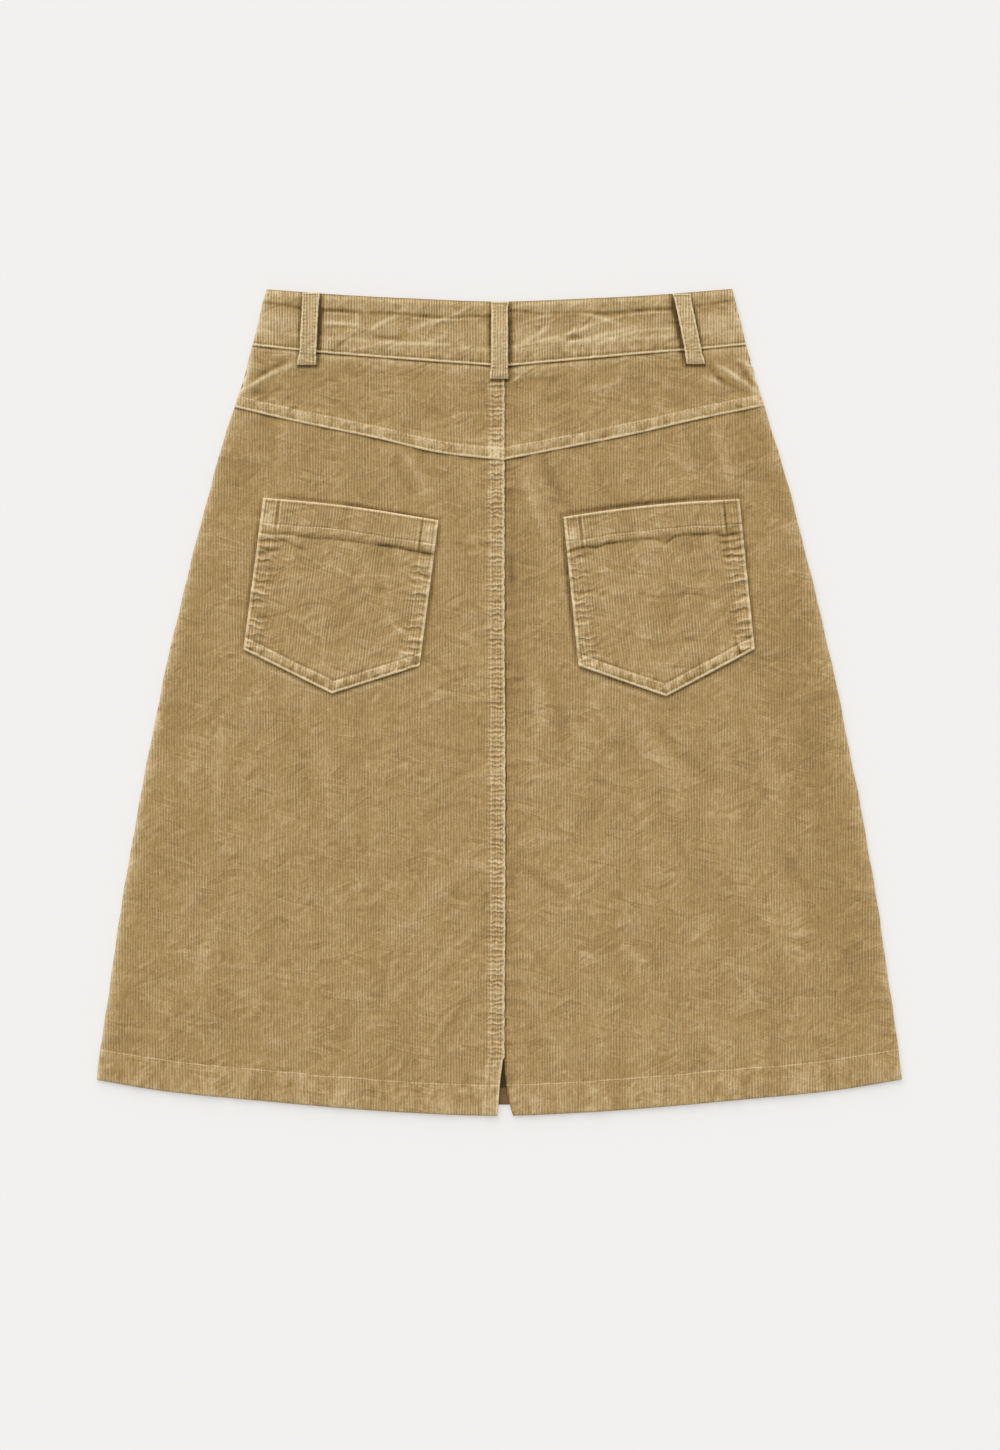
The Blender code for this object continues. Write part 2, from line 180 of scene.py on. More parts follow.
YOKE_FELL = table(
    Step,
    (0, 0.3, 1), (0.5, 0.8, 1.25), (1.3, 0.85, 1.1), (1.9, 0.75, 0.4), (2.6, 0.65, 0),
    (3.6, 0.8, 0.15), (6.8, 0.8, 0.3), (7.6, 0.75, 0.4), (8.4, 0.85, 0.85), (9.1, 0.6, 0.3),
    (9.9, 0.1, -0.15), (10.7, 0, 0), (12, 0, 0.1), (14.5, 0, 0),
)
UNDER_YOKE = table(
    Step,
    (0, -0.6, -0.5), (0.7, -0.5, -0.55), (1.4, -0.2, -0.3), (2.2, -0.1, -0.1), (4, 0, 0),
)
UNDER_BAND = table(
    Step,
    (0, -0.4, -0.5), (0.6, -0.3, -0.5), (1.1, -0.1, -0.2), (1.5, 0.05, 0.15), (2.3, 0.15, 0.38),
    (3.5, 0.1, 0.27), (5.2, 0.05, 0.15), (7, 0, 0), (13, 0, -0.05), (18, 0, 0),
)
BAND_FOOT = table(
    Step,
    (0, -0.1, 0.9), (0.4, 0.3, 1.3), (0.9, 0.4, 1.5), (1.3, 0.3, 0.9), (1.7, 0.1, 0.1),
    (2.2, -0.15, -0.4), (2.7, -0.2, -0.5), (3.3, -0.1, -0.15), (4, 0, 0), (5, 0.05, 0.05),
    (9.2, 0.05, 0.05), (10.6, 0.1, 0.2), (11.6, 0.2, 0.4), (12.9, 0.1, 0.2), (14.4, 0, 0),
)
BAND_EDGE = table(
    Step,
    (0, -1.5, -1), (0.5, -0.8, -0.6), (0.9, -0.45, -0.1), (1.7, -0.15, 0.08), (2.4, 0, 0.26),
    (3.2, 0.05, 0.22), (4, 0.1, 0.08), (5.5, 0.1, -0.02), (8.5, 0.05, 0.03), (10, -0.05, 0.05),
    (10.8, -0.15, -0.03), (11.5, -0.2, -0.1), (12.2, -0.2, -0.18), (13, -0.15, -0.25),
    (14.5, -0.05, -0.22), (15.5, 0, -0.17), (18.5, 0, -0.05), (20.5, 0, 0),
)
# The front's hem; above it the front's upper side, seen only in the vent, has painted shade.
FRONT_HEM = table(
    Step,
    (0, -0.5, -0.2), (0.7, 0.3, -0.2), (FRONT_HEM_DEPTH, 0.3, -0.55), (13.2, 0, -1), (45, 0, -1),
    (55, 0, 0),
)
FRONT_SIDE = table(
    Step,
    (0, -0.3, 0.4), (6, 0, 0.3), (9, 0, 0),
)
POCKET_MOUTH = table(
    Step,
    (0, 0.1, 0.7), (0.5, 0.75, 1.05), (1.1, 0.9, 0.9), (1.6, 0.85, 0.3), (2.3, 0.75, -0.2),
    (3.2, 0.8, -0.05), (4.5, 0.8, 0.05), (9, 0.8, -0.05), (14.5, 0.8, 0), (17, 0.8, 0.12),
    (18, 0.75, 0.03), (18.5, 0.65, -0.45), (19, 0.75, 0), (19.4, 0.85, 0.85), (19.9, 0.85, 0.4),
    (20.7, 0.8, 0.12), (22.4, 0.75, 0.08), (23.6, 0.6, 0), (25, 0.3, -0.15), (26.2, 0.05, -0.1),
    (27.2, 0, 0), (31, 0, 0),
)
POCKET_SIDE = table(
    Step,
    (0, -0.2, 0.6), (0.5, 0.4, 1), (1.3, 0.45, 0.95), (1.9, 0.3, 0.4), (2.5, 0.25, 0),
    (3.4, 0.45, 0.05), (7.4, 0.4, 0.14), (8.4, 0.3, -0.05), (9.2, 0.3, 0.03), (10, 0.35, 0.3),
    (10.8, 0.25, 0.2), (11.8, 0.08, 0), (12.6, 0, -0.05), (15, 0, 0),
)
POCKET_FOOT = table(
    Step,
    (0, -0.2, 0.5), (0.6, 0.4, 1.2), (1.3, 0.5, 1.3), (1.9, 0.35, 0.7), (2.5, 0.2, -0.05),
    (3.1, 0.3, -0.3), (4, 0.45, 0), (6.5, 0.45, 0.15), (7.8, 0.4, 0.3), (8.7, 0.45, 0.9),
    (9.4, 0.3, 0.5), (10.1, 0.05, -0.35), (10.9, 0, -0.3), (12, 0, 0.05), (15.5, 0, 0),
)
LOOP_EDGE = table(
    Step,
    (0, -0.7, 0.7), (0.4, -0.1, 1.25), (1.1, 0, 1), (1.6, -0.2, -0.15), (2, -0.2, -0.25),
    (2.6, 0, 0.05), (3.4, 0, 0),
)
LOOP_END = table(
    Step,
    (0, -0.6, 0.2), (0.7, -0.1, 0.7), (1.5, -0.3, -0.3), (2.2, -0.1, 0.1), (3.2, 0, 0),
)

Wave = namedtuple("Wave", "height across along start")
WAVES = table(
    Wave,
    (0.14, 4.6, 2.1, 0.1), (0.12, -2.7, 5.3, 0.35), (0.1, 7.9, -3.4, 0.7),
)
Fold = namedtuple("Fold", "x1 y1 x2 y2 height spread")
FOLDS = table(
    Fold,
    (61, 20, 152, -120, 0.65, 14), (24, 57, 48, -38, -0.4, 12), (150, -108, 238, -197, 0.55, 14),
    (164, -51, 238, -146, -0.4, 14), (61, -140, 86, -209, 0.5, 13), (20, 172, 36, 120, 0.5, 10),
    (40, 164, 47, 108, -0.35, 10), (-21, -114, -110, -216, 0.6, 13),
    (-123, -26, -132, -102, 0.5, 12), (-205, -114, -224, -228, 0.5, 13),
    (-199, 25, -218, -76, 0.4, 12), (-85, 190, -59, 158, 0.4, 10),
)

Pocket = namedtuple("Pocket", "name x y tilt width left_side right_side foot_x foot_depth bow")
POCKETS = table(
    Pocket,
    ("pocket_left", -179.4, 155.6, -7.4, 134.4, 116.5, 111.4, 70.9, 141, 2),
    ("pocket_right", 48.7, 140.9, 5.8, 134.4, 113.9, 114.7, 64, 143.6, 2.3),
)
POCKET_BAND = 25.8
POCKET_TURNING = 12.3
POCKET_SEED = 20

# Each belt loop: its two ends, and how far each spreads at its foot and top, on the left and right.
Spread = namedtuple("Spread", "foot top")
Loop = namedtuple("Loop", "name top_x top_y foot_x foot_y left right")
LOOPS = (
    Loop("belt_loop_left", -143.1, 311.2, -145.9, 256.5, Spread(1.5, 0.3), Spread(0.3, 0.8)),
    Loop("belt_loop_centre", 0.2, 304.4, 0.2, 245.9, Spread(1.3, 0.2), Spread(0.3, 0.9)),
    Loop("belt_loop_right", 138.5, 310.4, 149.2, 257.1, Spread(0.5, 0.8), Spread(0.8, 0.6)),
)
LOOP_SEED = 30
LOOP_RIPPLE = 0.15
LOOP_WAVES = ((0.72, 1), (1.9, 2))
LOOP_FOOT_SPREAD = 7.0
LOOP_TOP_SPREAD = 3.5

# The lines of painted shade beside a belt loop run past its foot and its top, and one crosses
# under its foot.
PAST_FOOT = 3.0
PAST_TOP = 6.0
FOOT_LINE_DROP = 1.2
FOOT_LINE_PAST = 2.0

# Puckers that run in from a sewn border: their mean spacing along it, their width, how far in
# they reach and their height. Each pucker strays from these by a share in the ranges below.
Pucker = namedtuple("Pucker", "border spacing width reach height")
PUCKER_STRIP = 2.4
PUCKER_SLANT = 0.25
PUCKER_SPACINGS = (0.5, 1.6)
PUCKER_WIDTHS = (0.6, 1.5)
PUCKER_REACHES = (0.5, 1.4)
PUCKER_HEIGHTS = (0.3, 1.3)

# The fine rungs of cloth that stitching has gathered: the border, how far in the rungs reach and
# their strength. They begin a little way in from the border. Gathers says how far apart the rungs
# lie along a piece's sides, how far they stray, over what width, and how steep their lower edges
# are.
Rungs = namedtuple("Rungs", "border reach strength")
RUNG_FADE = 8.0
RUNG_START = 0.8
RUNG_RISE = 1.2
Gathers = namedtuple("Gathers", "pitch stray width steepness")
SEAM_GATHERS = Gathers(3.7, 4.8, 4.5, 0.2)
POCKET_GATHERS = Gathers(5.2, 6.5, 7.0, 0.35)
LOOP_GATHERS = Gathers(2.8, 1.6, 3.0, 0.0)

# The centre-back seam's gathers fade out below the top of its vent and where the yoke's fell
# crosses it.
FELL_CROSSING = 189.5
FELL_HALF = 6.0
FELL_CALM = 0.8
VENT_FADE = 14.0

# A pocket's side gathers fade out over its doubled top hem.
HEM_FADE = 4.0
HEM_GATHERS = 0.15

# The length over which the inner lines of a border's profile wander, and how far in they wander
# fully.
WANDER_LENGTH = 21.0
WANDER_FROM = 14.0

# Small nicks in the sides, where the side seams were turned out, and where a side is shallowly
# hollow or full: which side, how high up, how deep and how wide.
Nick = namedtuple("Nick", "side y depth spread")
NICKS = table(
    Nick,
    (-1, 249.5, 1.3, 5.5), (-1, 240, 1.7, 2.6), (-1, 277, 0.5, 12), (-1, -114, 0.6, 30),
    (-1, -211, 0.5, 28), (1, 257.3, 1.7, 1.9), (1, 247.4, 1.2, 2.7), (1, 150, -0.4, 25),
)
SIDE_RIPPLE = 0.35
SIDE_WAVES = ((5.1, 2), (12.7, 1))
FRONT_INSET = 0.5

# How a piece's cloth is crumpled: creases for each 100 cm2, their usual direction and how far it
# strays, both in degrees from X, their length, width and height. Each crease strays from the last
# three by a share in the ranges below.
Crumple = namedtuple("Crumple", "share heading stray length spread height")
SMOOTH = Crumple(0.0, 0.0, 0.0, 0.0, 0.0, 0.0)
BODY_CRUMPLE = Crumple(16.0, 16.0, 28.0, 30.0, 1.2, 0.27)
CRUMPLE_BEND = 0.12
CRUMPLE_LENGTHS = (0.4, 1.3)
CRUMPLE_HEIGHTS = (0.4, 1.4)
CRUMPLE_SPREADS = (0.7, 1.5)

# Crinkles that washing leaves all over the cloth: fine lines that wander in one main direction.
# Their spacing, how many times longer they are than they lie apart, their width as a share of the
# spacing, their height and their direction in degrees. They stray by a share of their spacing, and
# come and go over the cloth in cells.
Crinkle = namedtuple("Crinkle", "spacing stretch width height heading")
CRINKLES = table(
    Crinkle,
    (24, 3, 0.085, 0.3, 20), (15, 3.2, 0.11, -0.28, 14), (10, 3, 0.2, 0.13, -10),
)
CRINKLE_BEND = 0.35
BEND_CELLS = (1.7, 0.6)
COVER_CELL = 38.0
COVER_MIDDLE = 0.5
COVER_GAIN = 1.6
COVER_MOST = 1.4
NOISE_CELLS = 97
NOISE_GAIN = 1.6
CRINKLE_SHARPNESS = 11.0
CRINKLE_SHADE = 0.08

# A crease is a ridge, or a trough where its height is below nothing, with how far it bows sideways
# and its tone: paler where it has worn, darker where painted shade is laid along it. It is felt as
# far as its reach, and the trough beside it lies at an offset, all in widths of the crease.
Crease = namedtuple("Crease", "x1 y1 x2 y2 height spread bend tone", defaults=(0.0, 0.0))
CREASE_REACH = 5
TROUGH_OFFSET = 2.1
TROUGH_WIDTH = 3.4
TROUGH_DEPTH = 0.5

# A line through points, from left to right, whose tone is pale where it is worn and dark where it
# is painted shade. It fades at its ends and swells a little along its length.
Trace = namedtuple("Trace", "points height spread tone")
TRACE_END = 5.0
SWELL = 0.4
SWELL_LENGTH = 7.0
TRACE_SEED = 70

# The main creases of the two back panels and the yokes. Their dark tones are painted shade, and the
# broad ones beside the centre-back seam and along the right side are mostly painted shade.
BACK_CREASES = table(
    Crease,
    (14, 186, 40, 120, 0.55, 3, 2, 0.15), (32, 186, 57, 143, -0.5, 3.2, 1.5, -0.22),
    (12, 150, 14, -30, -0.2, 8, 0, -0.06), (205, 130, 272, -250, 0, 13, 0, -0.13),
    (10, 140, 11, 62, -0.3, 2, 1, -0.12), (16, 40, 37, -28, 0.3, 4, -2, 0.06),
    (36, 32, 56, -52, -0.28, 4.5, 2, -0.08), (60, 18, 100, -38, 0.28, 2.4, 1.5, 0.08),
    (70, 20, 158, -92, 0.3, 7, -3, 0.03), (108, -12, 176, -67, -0.3, 3.2, 2, -0.1),
    (181, -132, 240, -211, 0.26, 3, 3, 0.04), (206, -106, 240, -148, -0.35, 3.6, 1, -0.12),
    (9, -114, 34, -136, -0.35, 2.8, 1, -0.12), (10, -109, 47, -100, 0.35, 3.6, 1, 0.1),
    (55, -176, 95, -224, 0.22, 3.2, 1.5, 0.04), (86, -170, 126, -204, -0.35, 3.2, -1, -0.1),
    (22, -214, 49, -275, 0.3, 3, 1.5, 0.08), (44, -148, 108, -178, 0.25, 1.6, 1, 0.1),
    (14, -118, 78, -155, 0.28, 1.6, -1, 0.1), (20, -128, 66, -160, -0.25, 1.5, 0.5, -0.1),
    (152, -180, 222, -250, 0.25, 2, 1.5, 0.06), (190, -2, 224, -120, 0.3, 2.6, 2, 0.06),
    (120, -60, 150, -140, -0.28, 3, 2, -0.06), (161, 216, 180, 160, 0.4, 2.4, 1, 0.12),
    (126, 192, 153, 171, 0.35, 1.9, 0.5, 0.1), (140, 208, 152, 184, -0.3, 2, 0.5, -0.1),
    (70, 190, 84, 152, -0.25, 2.4, 1, -0.06), (-76, 192, -50, 152, 0.4, 2.4, -1, 0.12),
    (-84, 186, -62, 152, -0.28, 2.2, -0.5, -0.08), (-164, 211, -167, 174, 0.35, 2.8, 0.5, 0.08),
    (-140, 206, -150, 172, -0.25, 2.6, 0.5, -0.06), (-14, -107, -86, -180, 0.25, 4.5, -2, 0.06),
    (-13, -126, -54, -157, -0.22, 1.2, -1, -0.1), (-10, -164, -92, -228, 0.22, 1.3, -2, 0.08),
    (-9, -176, -76, -230, -0.22, 1.2, -3, -0.1), (-10, -194, -54, -231, 0.22, 1.2, -1, 0.08),
    (-11, -225, -40, -267, 0.26, 1.4, -0.5, 0.1), (-12, -213, -46, -258, -0.22, 1.3, 1.5, -0.1),
    (-13, -146, -48, -168, 0.3, 1.5, -0.5, 0.08), (-81, -184, -91, -232, -0.3, 1.6, 1, -0.1),
    (-77, -186, -87, -230, 0.25, 1.6, 1, 0.08), (-36, -232, -62, -275, 0.28, 1.8, -0.5, 0.08),
    (-134, -26, -122, -103, 0.3, 3.6, 1.5, 0.06), (-148, -30, -140, -96, -0.25, 3.4, 1, -0.05),
    (-204, 12, -218, -78, 0.32, 3, 1, 0.06), (-198, -126, -238, -218, 0.32, 3.2, -2, 0.06),
    (-214, -122, -244, -190, -0.28, 3, -1, -0.06), (-103, -140, -150, -150, 0.2, 2.2, 1.5, 0.05),
    (-20, 118, -36, 121, -0.3, 1, 0.5, -0.2), (-19, 66, -46, 73, -0.3, 1, 0.8, -0.2),
    (-21, 28, -52, 20, -0.28, 1.1, -1, -0.15), (-21, 2, -60, 10, 0.28, 1.2, 1, 0.1),
    (-20, -40, -66, -30, -0.28, 1.1, 1, -0.15), (-20, -74, -58, -84, -0.28, 1.2, -1, -0.12),
    (8, 96, 30, 88, -0.3, 1.2, 1, -0.15), (8, 34, 36, 44, -0.28, 1.2, 1, -0.12),
    (8, -60, 40, -54, 0.28, 1.3, 1, 0.08), (-202, 233, -177, 249, 0.7, 1.5, 0.5, 0.7),
    (-190, 241, -152, 258, 0.6, 1.6, -1, 0.6), (-194, 238, -176, 252, -0.5, 1.4, 0, -0.5),
    (-184, 247, -161, 260, -0.45, 1.4, -0.5, -0.45), (-187, 262, -196, 242, 0.3, 1.3, 0.5, 0.55),
    (-191, 250, -199, 234, 0.3, 1.3, 0, 0.6), (-189, 234, -177, 237, -0.35, 2, 0, -0.45),
    (162, 258, 184, 245, 0.55, 1.3, -0.5, 0.42), (172, 253, 201, 233, 0.55, 1.3, 0.5, 0.45),
    (158, 257, 173, 241, -0.45, 1.4, 0.5, -0.38), (165, 247, 192, 234, -0.4, 1.3, 0.5, -0.3),
    (154, 248, 169, 241, 0.35, 1.5, 0, 0.35), (179, 261, 191, 256, 0.3, 1.2, -0.5, 0.5),
    (187, 259, 197, 242, 0.3, 1.3, -0.5, 0.55), (193, 250, 200, 235, 0.3, 1.3, 0, 0.55),
    (180, 259, 193, 240, -0.4, 1.5, -0.5, -0.45), (7, 243, 16, 249, 0.4, 0.8, 1, 0.6),
    (10, 241, 18, 245, -0.3, 0.8, 0.8, -0.4), (-120, 240, -92, 232, 0.25, 2, 1, 0.1),
    (-70, 236, -48, 226, 0.25, 1.8, 1, 0.1), (-66, 230, -40, 218, -0.25, 1.8, 1, -0.1),
    (60, 236, 96, 246, 0.25, 2, 1, 0.1), (24, 226, 52, 236, -0.25, 1.9, 1, -0.1),
    (112, 250, 140, 236, 0.3, 1.9, 1, 0.1), (118, 238, 146, 226, -0.28, 1.9, 1, -0.1),
    (-2.5, 199, -2.5, 181, 0.15, 3.4, 0, 0.6), (9, 168, 12, 132, -0.25, 1.4, 1, -0.18),
    (9, 118, 11, 82, -0.25, 1.6, 1, -0.15), (9, -116, 12, -152, -0.25, 1.6, 1, -0.2),
)

# The waistband's creases: the roll below its top edge and the wrinkles between the belt loops.
# Their dark tones are painted shade.
BAND_CREASES = table(
    Crease,
    (-135, 288.4, -107, 286.9, 0.45, 1, 0, 0.8), (-108.5, 298, -107.6, 286, 0.4, 0.9, 0, 0.65),
    (-134, 285.4, -108, 284.6, -0.3, 1.1, 0, -0.2), (-99, 282, -76, 294, 0.5, 1.3, -1, 0.5),
    (-70, 282, -23, 294, 0.5, 1.4, -2, 0.5), (-77, 295, -58, 291.8, 0.3, 0.9, 0.5, 0.3),
    (-126, 269, -114, 278, -0.4, 1.2, 0.5, -0.6), (-58, 272, -36, 282, 0.3, 1.3, 1, 0.25),
    (-92, 276, -70, 280, -0.3, 1.2, 1, -0.25), (27, 293.7, 41, 294.6, 0.3, 0.9, 0, 0.4),
    (15, 273, 42, 292, 0.5, 1.3, 3, 0.5), (60, 296, 95, 285.5, 0.5, 1.3, -0.8, 0.5),
    (46, 273, 106, 286, 0.5, 1.4, 1.5, 0.5), (50, 276.8, 68, 279.5, -0.4, 1.2, 0.5, -0.5),
    (25, 272.5, 56, 278.3, 0.3, 1.2, 1, 0.3), (-186, 291, -150, 288, 0.15, 8, 0, 0.22),
    (152, 288, 188, 292, 0.15, 8, 0, 0.32), (160, 279, 178, 285, -0.3, 1.4, 0.5, -0.2),
    (-176, 284, -158, 277, -0.3, 1.4, 0.5, -0.2),
)
# Lines along the waistband's roll and wrinkles; the dark ones are painted shade.
BAND_TRACES = table(
    Trace,
    (((-184, 304.4), (-166.7, 302.5), (-151.5, 299.8), (-146, 299)), -0.5, 0.9, -0.5),
    (
        ((-140, 299), (-133.4, 298.3), (-121.1, 297.7), (-109.7, 296.8), (-103, 296.4)),
        -0.6, 1, -0.6,
    ),
    (((-101, 296.2), (-94.5, 296), (-75.5, 295.3), (-60.3, 293.4), (-55, 293)), -0.5, 0.9, -0.4),
    (((-61, 294.4), (-45.1, 292.6), (-26.1, 293), (-7.1, 293.4), (2, 293.6)), -0.5, 0.9, -0.45),
    (((0, 297.6), (10, 297.5), (25.2, 296.4), (34.7, 294.5), (41, 294.4)), -0.5, 0.9, -0.45),
    (((37, 296.4), (48, 296), (63.2, 296.8), (76.5, 295.6), (85, 295.6)), -0.45, 0.9, -0.4),
    (((78, 295.8), (99.3, 297.2), (114.5, 298.7), (131.6, 299), (137, 299.2)), -0.6, 1, -0.6),
    (((146, 301), (162, 302.9), (177.2, 305.5), (184, 306.6)), -0.5, 0.9, -0.4),
    (((-62, 291.8), (-45.1, 290.4), (-26.1, 291.2), (-12, 292.2)), 0.3, 0.7, 0.4),
    (((-134, 295.9), (-121, 295.2), (-110, 294.6)), 0.3, 0.7, 0.35),
    (((-97, 279), (-85, 277), (-72, 276)), -0.35, 0.7, -0.4),
    (((-88, 273), (-60.3, 272.5), (-34, 271.6)), 0.3, 0.8, 0.35),
    (((-52, 270.2), (-40, 270), (-28, 270.4)), -0.3, 0.7, -0.4),
    (((6, 269.2), (24, 273), (38.5, 276.5), (63.2, 283.1), (72, 285.4)), 0.4, 0.9, 0.4),
    (((48, 279.4), (57.5, 282.2), (76.5, 288.8), (89.8, 292.6), (95, 293.6)), 0.35, 0.8, 0.35),
    (((14, 286.6), (25, 291), (36.6, 293.2), (42, 293.4)), 0.35, 0.9, 0.4),
    (((78, 274), (95, 279), (106.9, 282.2), (131.6, 283.1), (138, 283)), 0.35, 0.9, 0.35),
    (((50, 273.8), (68, 274.8), (82.2, 276.5), (90, 277)), 0.3, 0.7, 0.35),
    (((90, 293.4), (104, 295), (122, 296.4), (134, 296.6)), 0.3, 0.7, 0.35),
)

# The creases of the pockets, from their own top left corners. Their dark tones are painted shade.
POCKET_CREASES = {
    "pocket_left": table(
        Crease,
        (56, -76, 62, -122, 0.25, 1.4, 0.5, 0.15), (98, -44, 108, -62, 0.32, 2, 1, 0.12),
        (92, -50, 100, -66, -0.26, 1.8, 1, -0.08), (20, -46, 52, -52, -0.22, 1.4, 1, -0.08),
        (24, -66, 50, -60, 0.22, 1.4, 1, 0.08), (72, -84, 104, -92, -0.22, 1.4, -1, -0.08),
        (34, -98, 56, -108, 0.22, 1.5, 1, 0.08), (86, -108, 108, -100, 0.22, 1.4, 1, 0.08),
        (117, -104, 128, -107, 0.4, 2.6, 0.5, 0.5), (6, -3, 6, -24, 0.1, 3.4, 0, 0.35),
        (128, -4, 128, -24, 0.1, 2.4, 0, 0.35),
    ),
    "pocket_right": table(
        Crease,
        (22, -42, 44, -46, 0.32, 1.6, 1, 0.12), (24, -50, 48, -56, -0.3, 1.5, 1, -0.12),
        (30, -60, 50, -64, 0.3, 1.6, 1, 0.1), (26, -72, 44, -80, 0.28, 1.5, 1.5, 0.1),
        (50, -74, 84, -52, 0.26, 1.6, 2, 0.1), (62, -76, 100, -58, -0.26, 1.6, 2, -0.12),
        (84, -66, 112, -52, 0.28, 1.5, 1.5, 0.1), (36, -98, 72, -92, 0.28, 1.6, 2, 0.1),
        (66, -96, 112, -86, 0.3, 1.5, 2, 0.12), (56, -104, 100, -100, -0.26, 1.5, 1.5, -0.12),
        (84, -40, 112, -36, 0.28, 1.5, 1, 0.1), (92, -76, 116, -70, -0.26, 1.4, 1, -0.12),
        (50, -116, 80, -120, 0.22, 1.5, 1, 0.1), (5, -108, 17, -111, 0.4, 2.6, 0.5, 0.5),
        (5, -6, 5, -24, 0.1, 2.4, 0, 0.25), (119.5, -103, 124.5, -121, -0.4, 0.7, 0, -0.6),
        (121.4, -103, 126.4, -121, 0.3, 0.7, 0, 0.5),
    ),
}

# The foot of each pocket's hem, its longest gathers and the thin lines that wander over it, all
# from its own top left corner. Their dark tones are painted shade, deepest under the hem's fold.
POCKET_TRACES = {
    "pocket_left": table(
        Trace,
        (((-6, -26), (15, -25.9), (22, -24.5), (32, -25.2), (43, -25.7)), -0.4, 0.7, -0.6),
        (((36, -25.4), (43, -25.7), (50, -24.6), (63, -24.2), (70, -24.6)), -0.35, 0.6, -0.6),
        (((66, -24.6), (73, -24.1), (85, -24.4), (98, -24.3)), -0.25, 0.6, -0.4),
        (((88, -24.4), (107, -24.3), (118, -25.4), (140, -26.1)), -0.5, 0.75, -0.95),
        (((-6, -31.3), (12, -31.5), (20, -30.2), (31, -34.2), (39, -34.5)), -0.5, 0.9, -0.6),
        (((-6, -37.2), (5, -38.3), (13, -38.6), (20, -36.4)), -0.4, 0.8, -0.5),
        (((-6, -28.6), (10, -28), (22, -27), (30, -27.5)), 0.4, 0.9, 0.35),
        (((4, -91.5), (19, -88), (30, -83), (43, -76), (58, -73.8)), -0.2, 0.6, -0.35),
        (((50, -42.5), (63, -46.4), (75, -50.3), (88, -48.2), (104, -46.5)), 0.25, 0.7, 0.35),
        (((78, -58), (98, -56.7), (112, -57.5)), -0.2, 0.7, -0.3),
        (((108, -82), (118, -88), (128, -92)), 0.4, 1.2, 0.4),
    ),
    "pocket_right": table(
        Trace,
        (
            ((-6, -29), (8, -25), (17, -24.5), (24, -25.4), (31, -23.3), (40, -23.2)),
            -0.5, 0.75, -0.9,
        ),
        (((34, -23.2), (49, -22.5), (61, -22.8), (68, -23.7), (75, -27)), -0.4, 0.7, -0.6),
        (((72, -27.2), (77, -26.3), (82, -23.8), (104, -23.6), (120, -23.2)), -0.4, 0.7, -0.65),
        (((113, -24.5), (120, -26.4), (127, -25.6), (140, -25.2)), -0.5, 0.8, -0.85),
        (((113, -30), (121, -31.7), (127, -31.2), (140, -30.2)), -0.5, 0.85, -0.8),
        (((114, -37.8), (125, -37.1), (140, -35.4)), -0.4, 0.8, -0.5),
        (((114, -41.2), (125, -42.7), (140, -42)), -0.5, 0.8, -0.6),
        (((-6, -32.6), (7, -31), (12, -30.4), (21, -29.6)), -0.45, 0.8, -0.5),
        (((48, -62), (66, -67.8), (78, -67.5), (90, -67.9), (107, -72)), -0.22, 0.7, -0.35),
        (((6, -60), (17, -62), (28, -66.5)), 0.4, 1.2, 0.25),
    ),
}

# Painted shade on the panels close round each pocket, from the pocket's own top left corner: in the
# gap over its mouth, beside its sides and under its foot, with a paler line beyond its foot.
POCKET_SHADE_LINES = {
    "pocket_left": table(
        Crease,
        (4, 2.6, 76, 3.8, -0.4, 0.9, 0, -0.55), (60, 3.6, 138, 1.2, -0.5, 1.1, 0.8, -0.85),
        (-1.3, 2, -1.3, -118, -0.3, 0.9, 0, -0.55), (-0.6, -117, 71, -142, -0.4, 0.6, 0, -0.6),
        (70, -142, 135, -111.5, -0.4, 0.6, 0, -0.6), (-2, -120.6, 71, -145.6, 0.2, 0.9, 0, 0.25),
        (71, -145.6, 137, -115, 0.2, 0.9, 0, 0.25), (135.7, 2, 135.7, -112, -0.35, 1, 0, -0.5),
    ),
    "pocket_right": table(
        Crease,
        (-6, 1.8, 141, 1.8, -0.55, 1.3, -2.4, -0.95), (-1.5, 4, -1.5, -114, -0.4, 1.2, 0, -0.85),
        (-0.8, -114.6, 64, -144.8, -0.45, 0.7, 0, -0.7),
        (63, -144.8, 136, -115.4, -0.45, 0.7, 0, -0.6), (-2, -119, 63, -149, 0.2, 0.9, 0, 0.25),
        (135.4, 0, 135.4, -114, -0.3, 0.9, 0, -0.55),
    ),
}

# How dark the painted shade on the cloth beside each belt loop is, on its left (-1) and right (1),
# and how wide.
LoopShade = namedtuple("LoopShade", "side tone spread")
LOOP_SHADES = {
    "belt_loop_left": table(
        LoopShade,
        (-1, -0.7, 1), (1, -1.5, 1.7),
    ),
    "belt_loop_centre": table(
        LoopShade,
        (-1, -0.9, 1.2), (1, -1.1, 1.9),
    ),
    "belt_loop_right": table(
        LoopShade,
        (-1, -1.5, 1.7), (1, -0.7, 1),
    ),
}

# Each sewn piece: its borders and their profiles, its lower side and wall, its grid's pitch and
# rough size, its cut and what it lies on. The rest says how it is puckered and creased, how far the
# middle of its grid is shifted, and where it lies if it is drawn in its own axes.
Patch = namedtuple(
    "Patch",
    "name left right bottom top left_rim right_rim bottom_rim top_rim underside wall pitch span "
    "seed cut area rests_on "
    "sways puckers rungs crumple creases traces crinkled uneven middle place",
    defaults=(False, (), (), SMOOTH, (), (), 0.75, 0.0, 0.5, None),
)


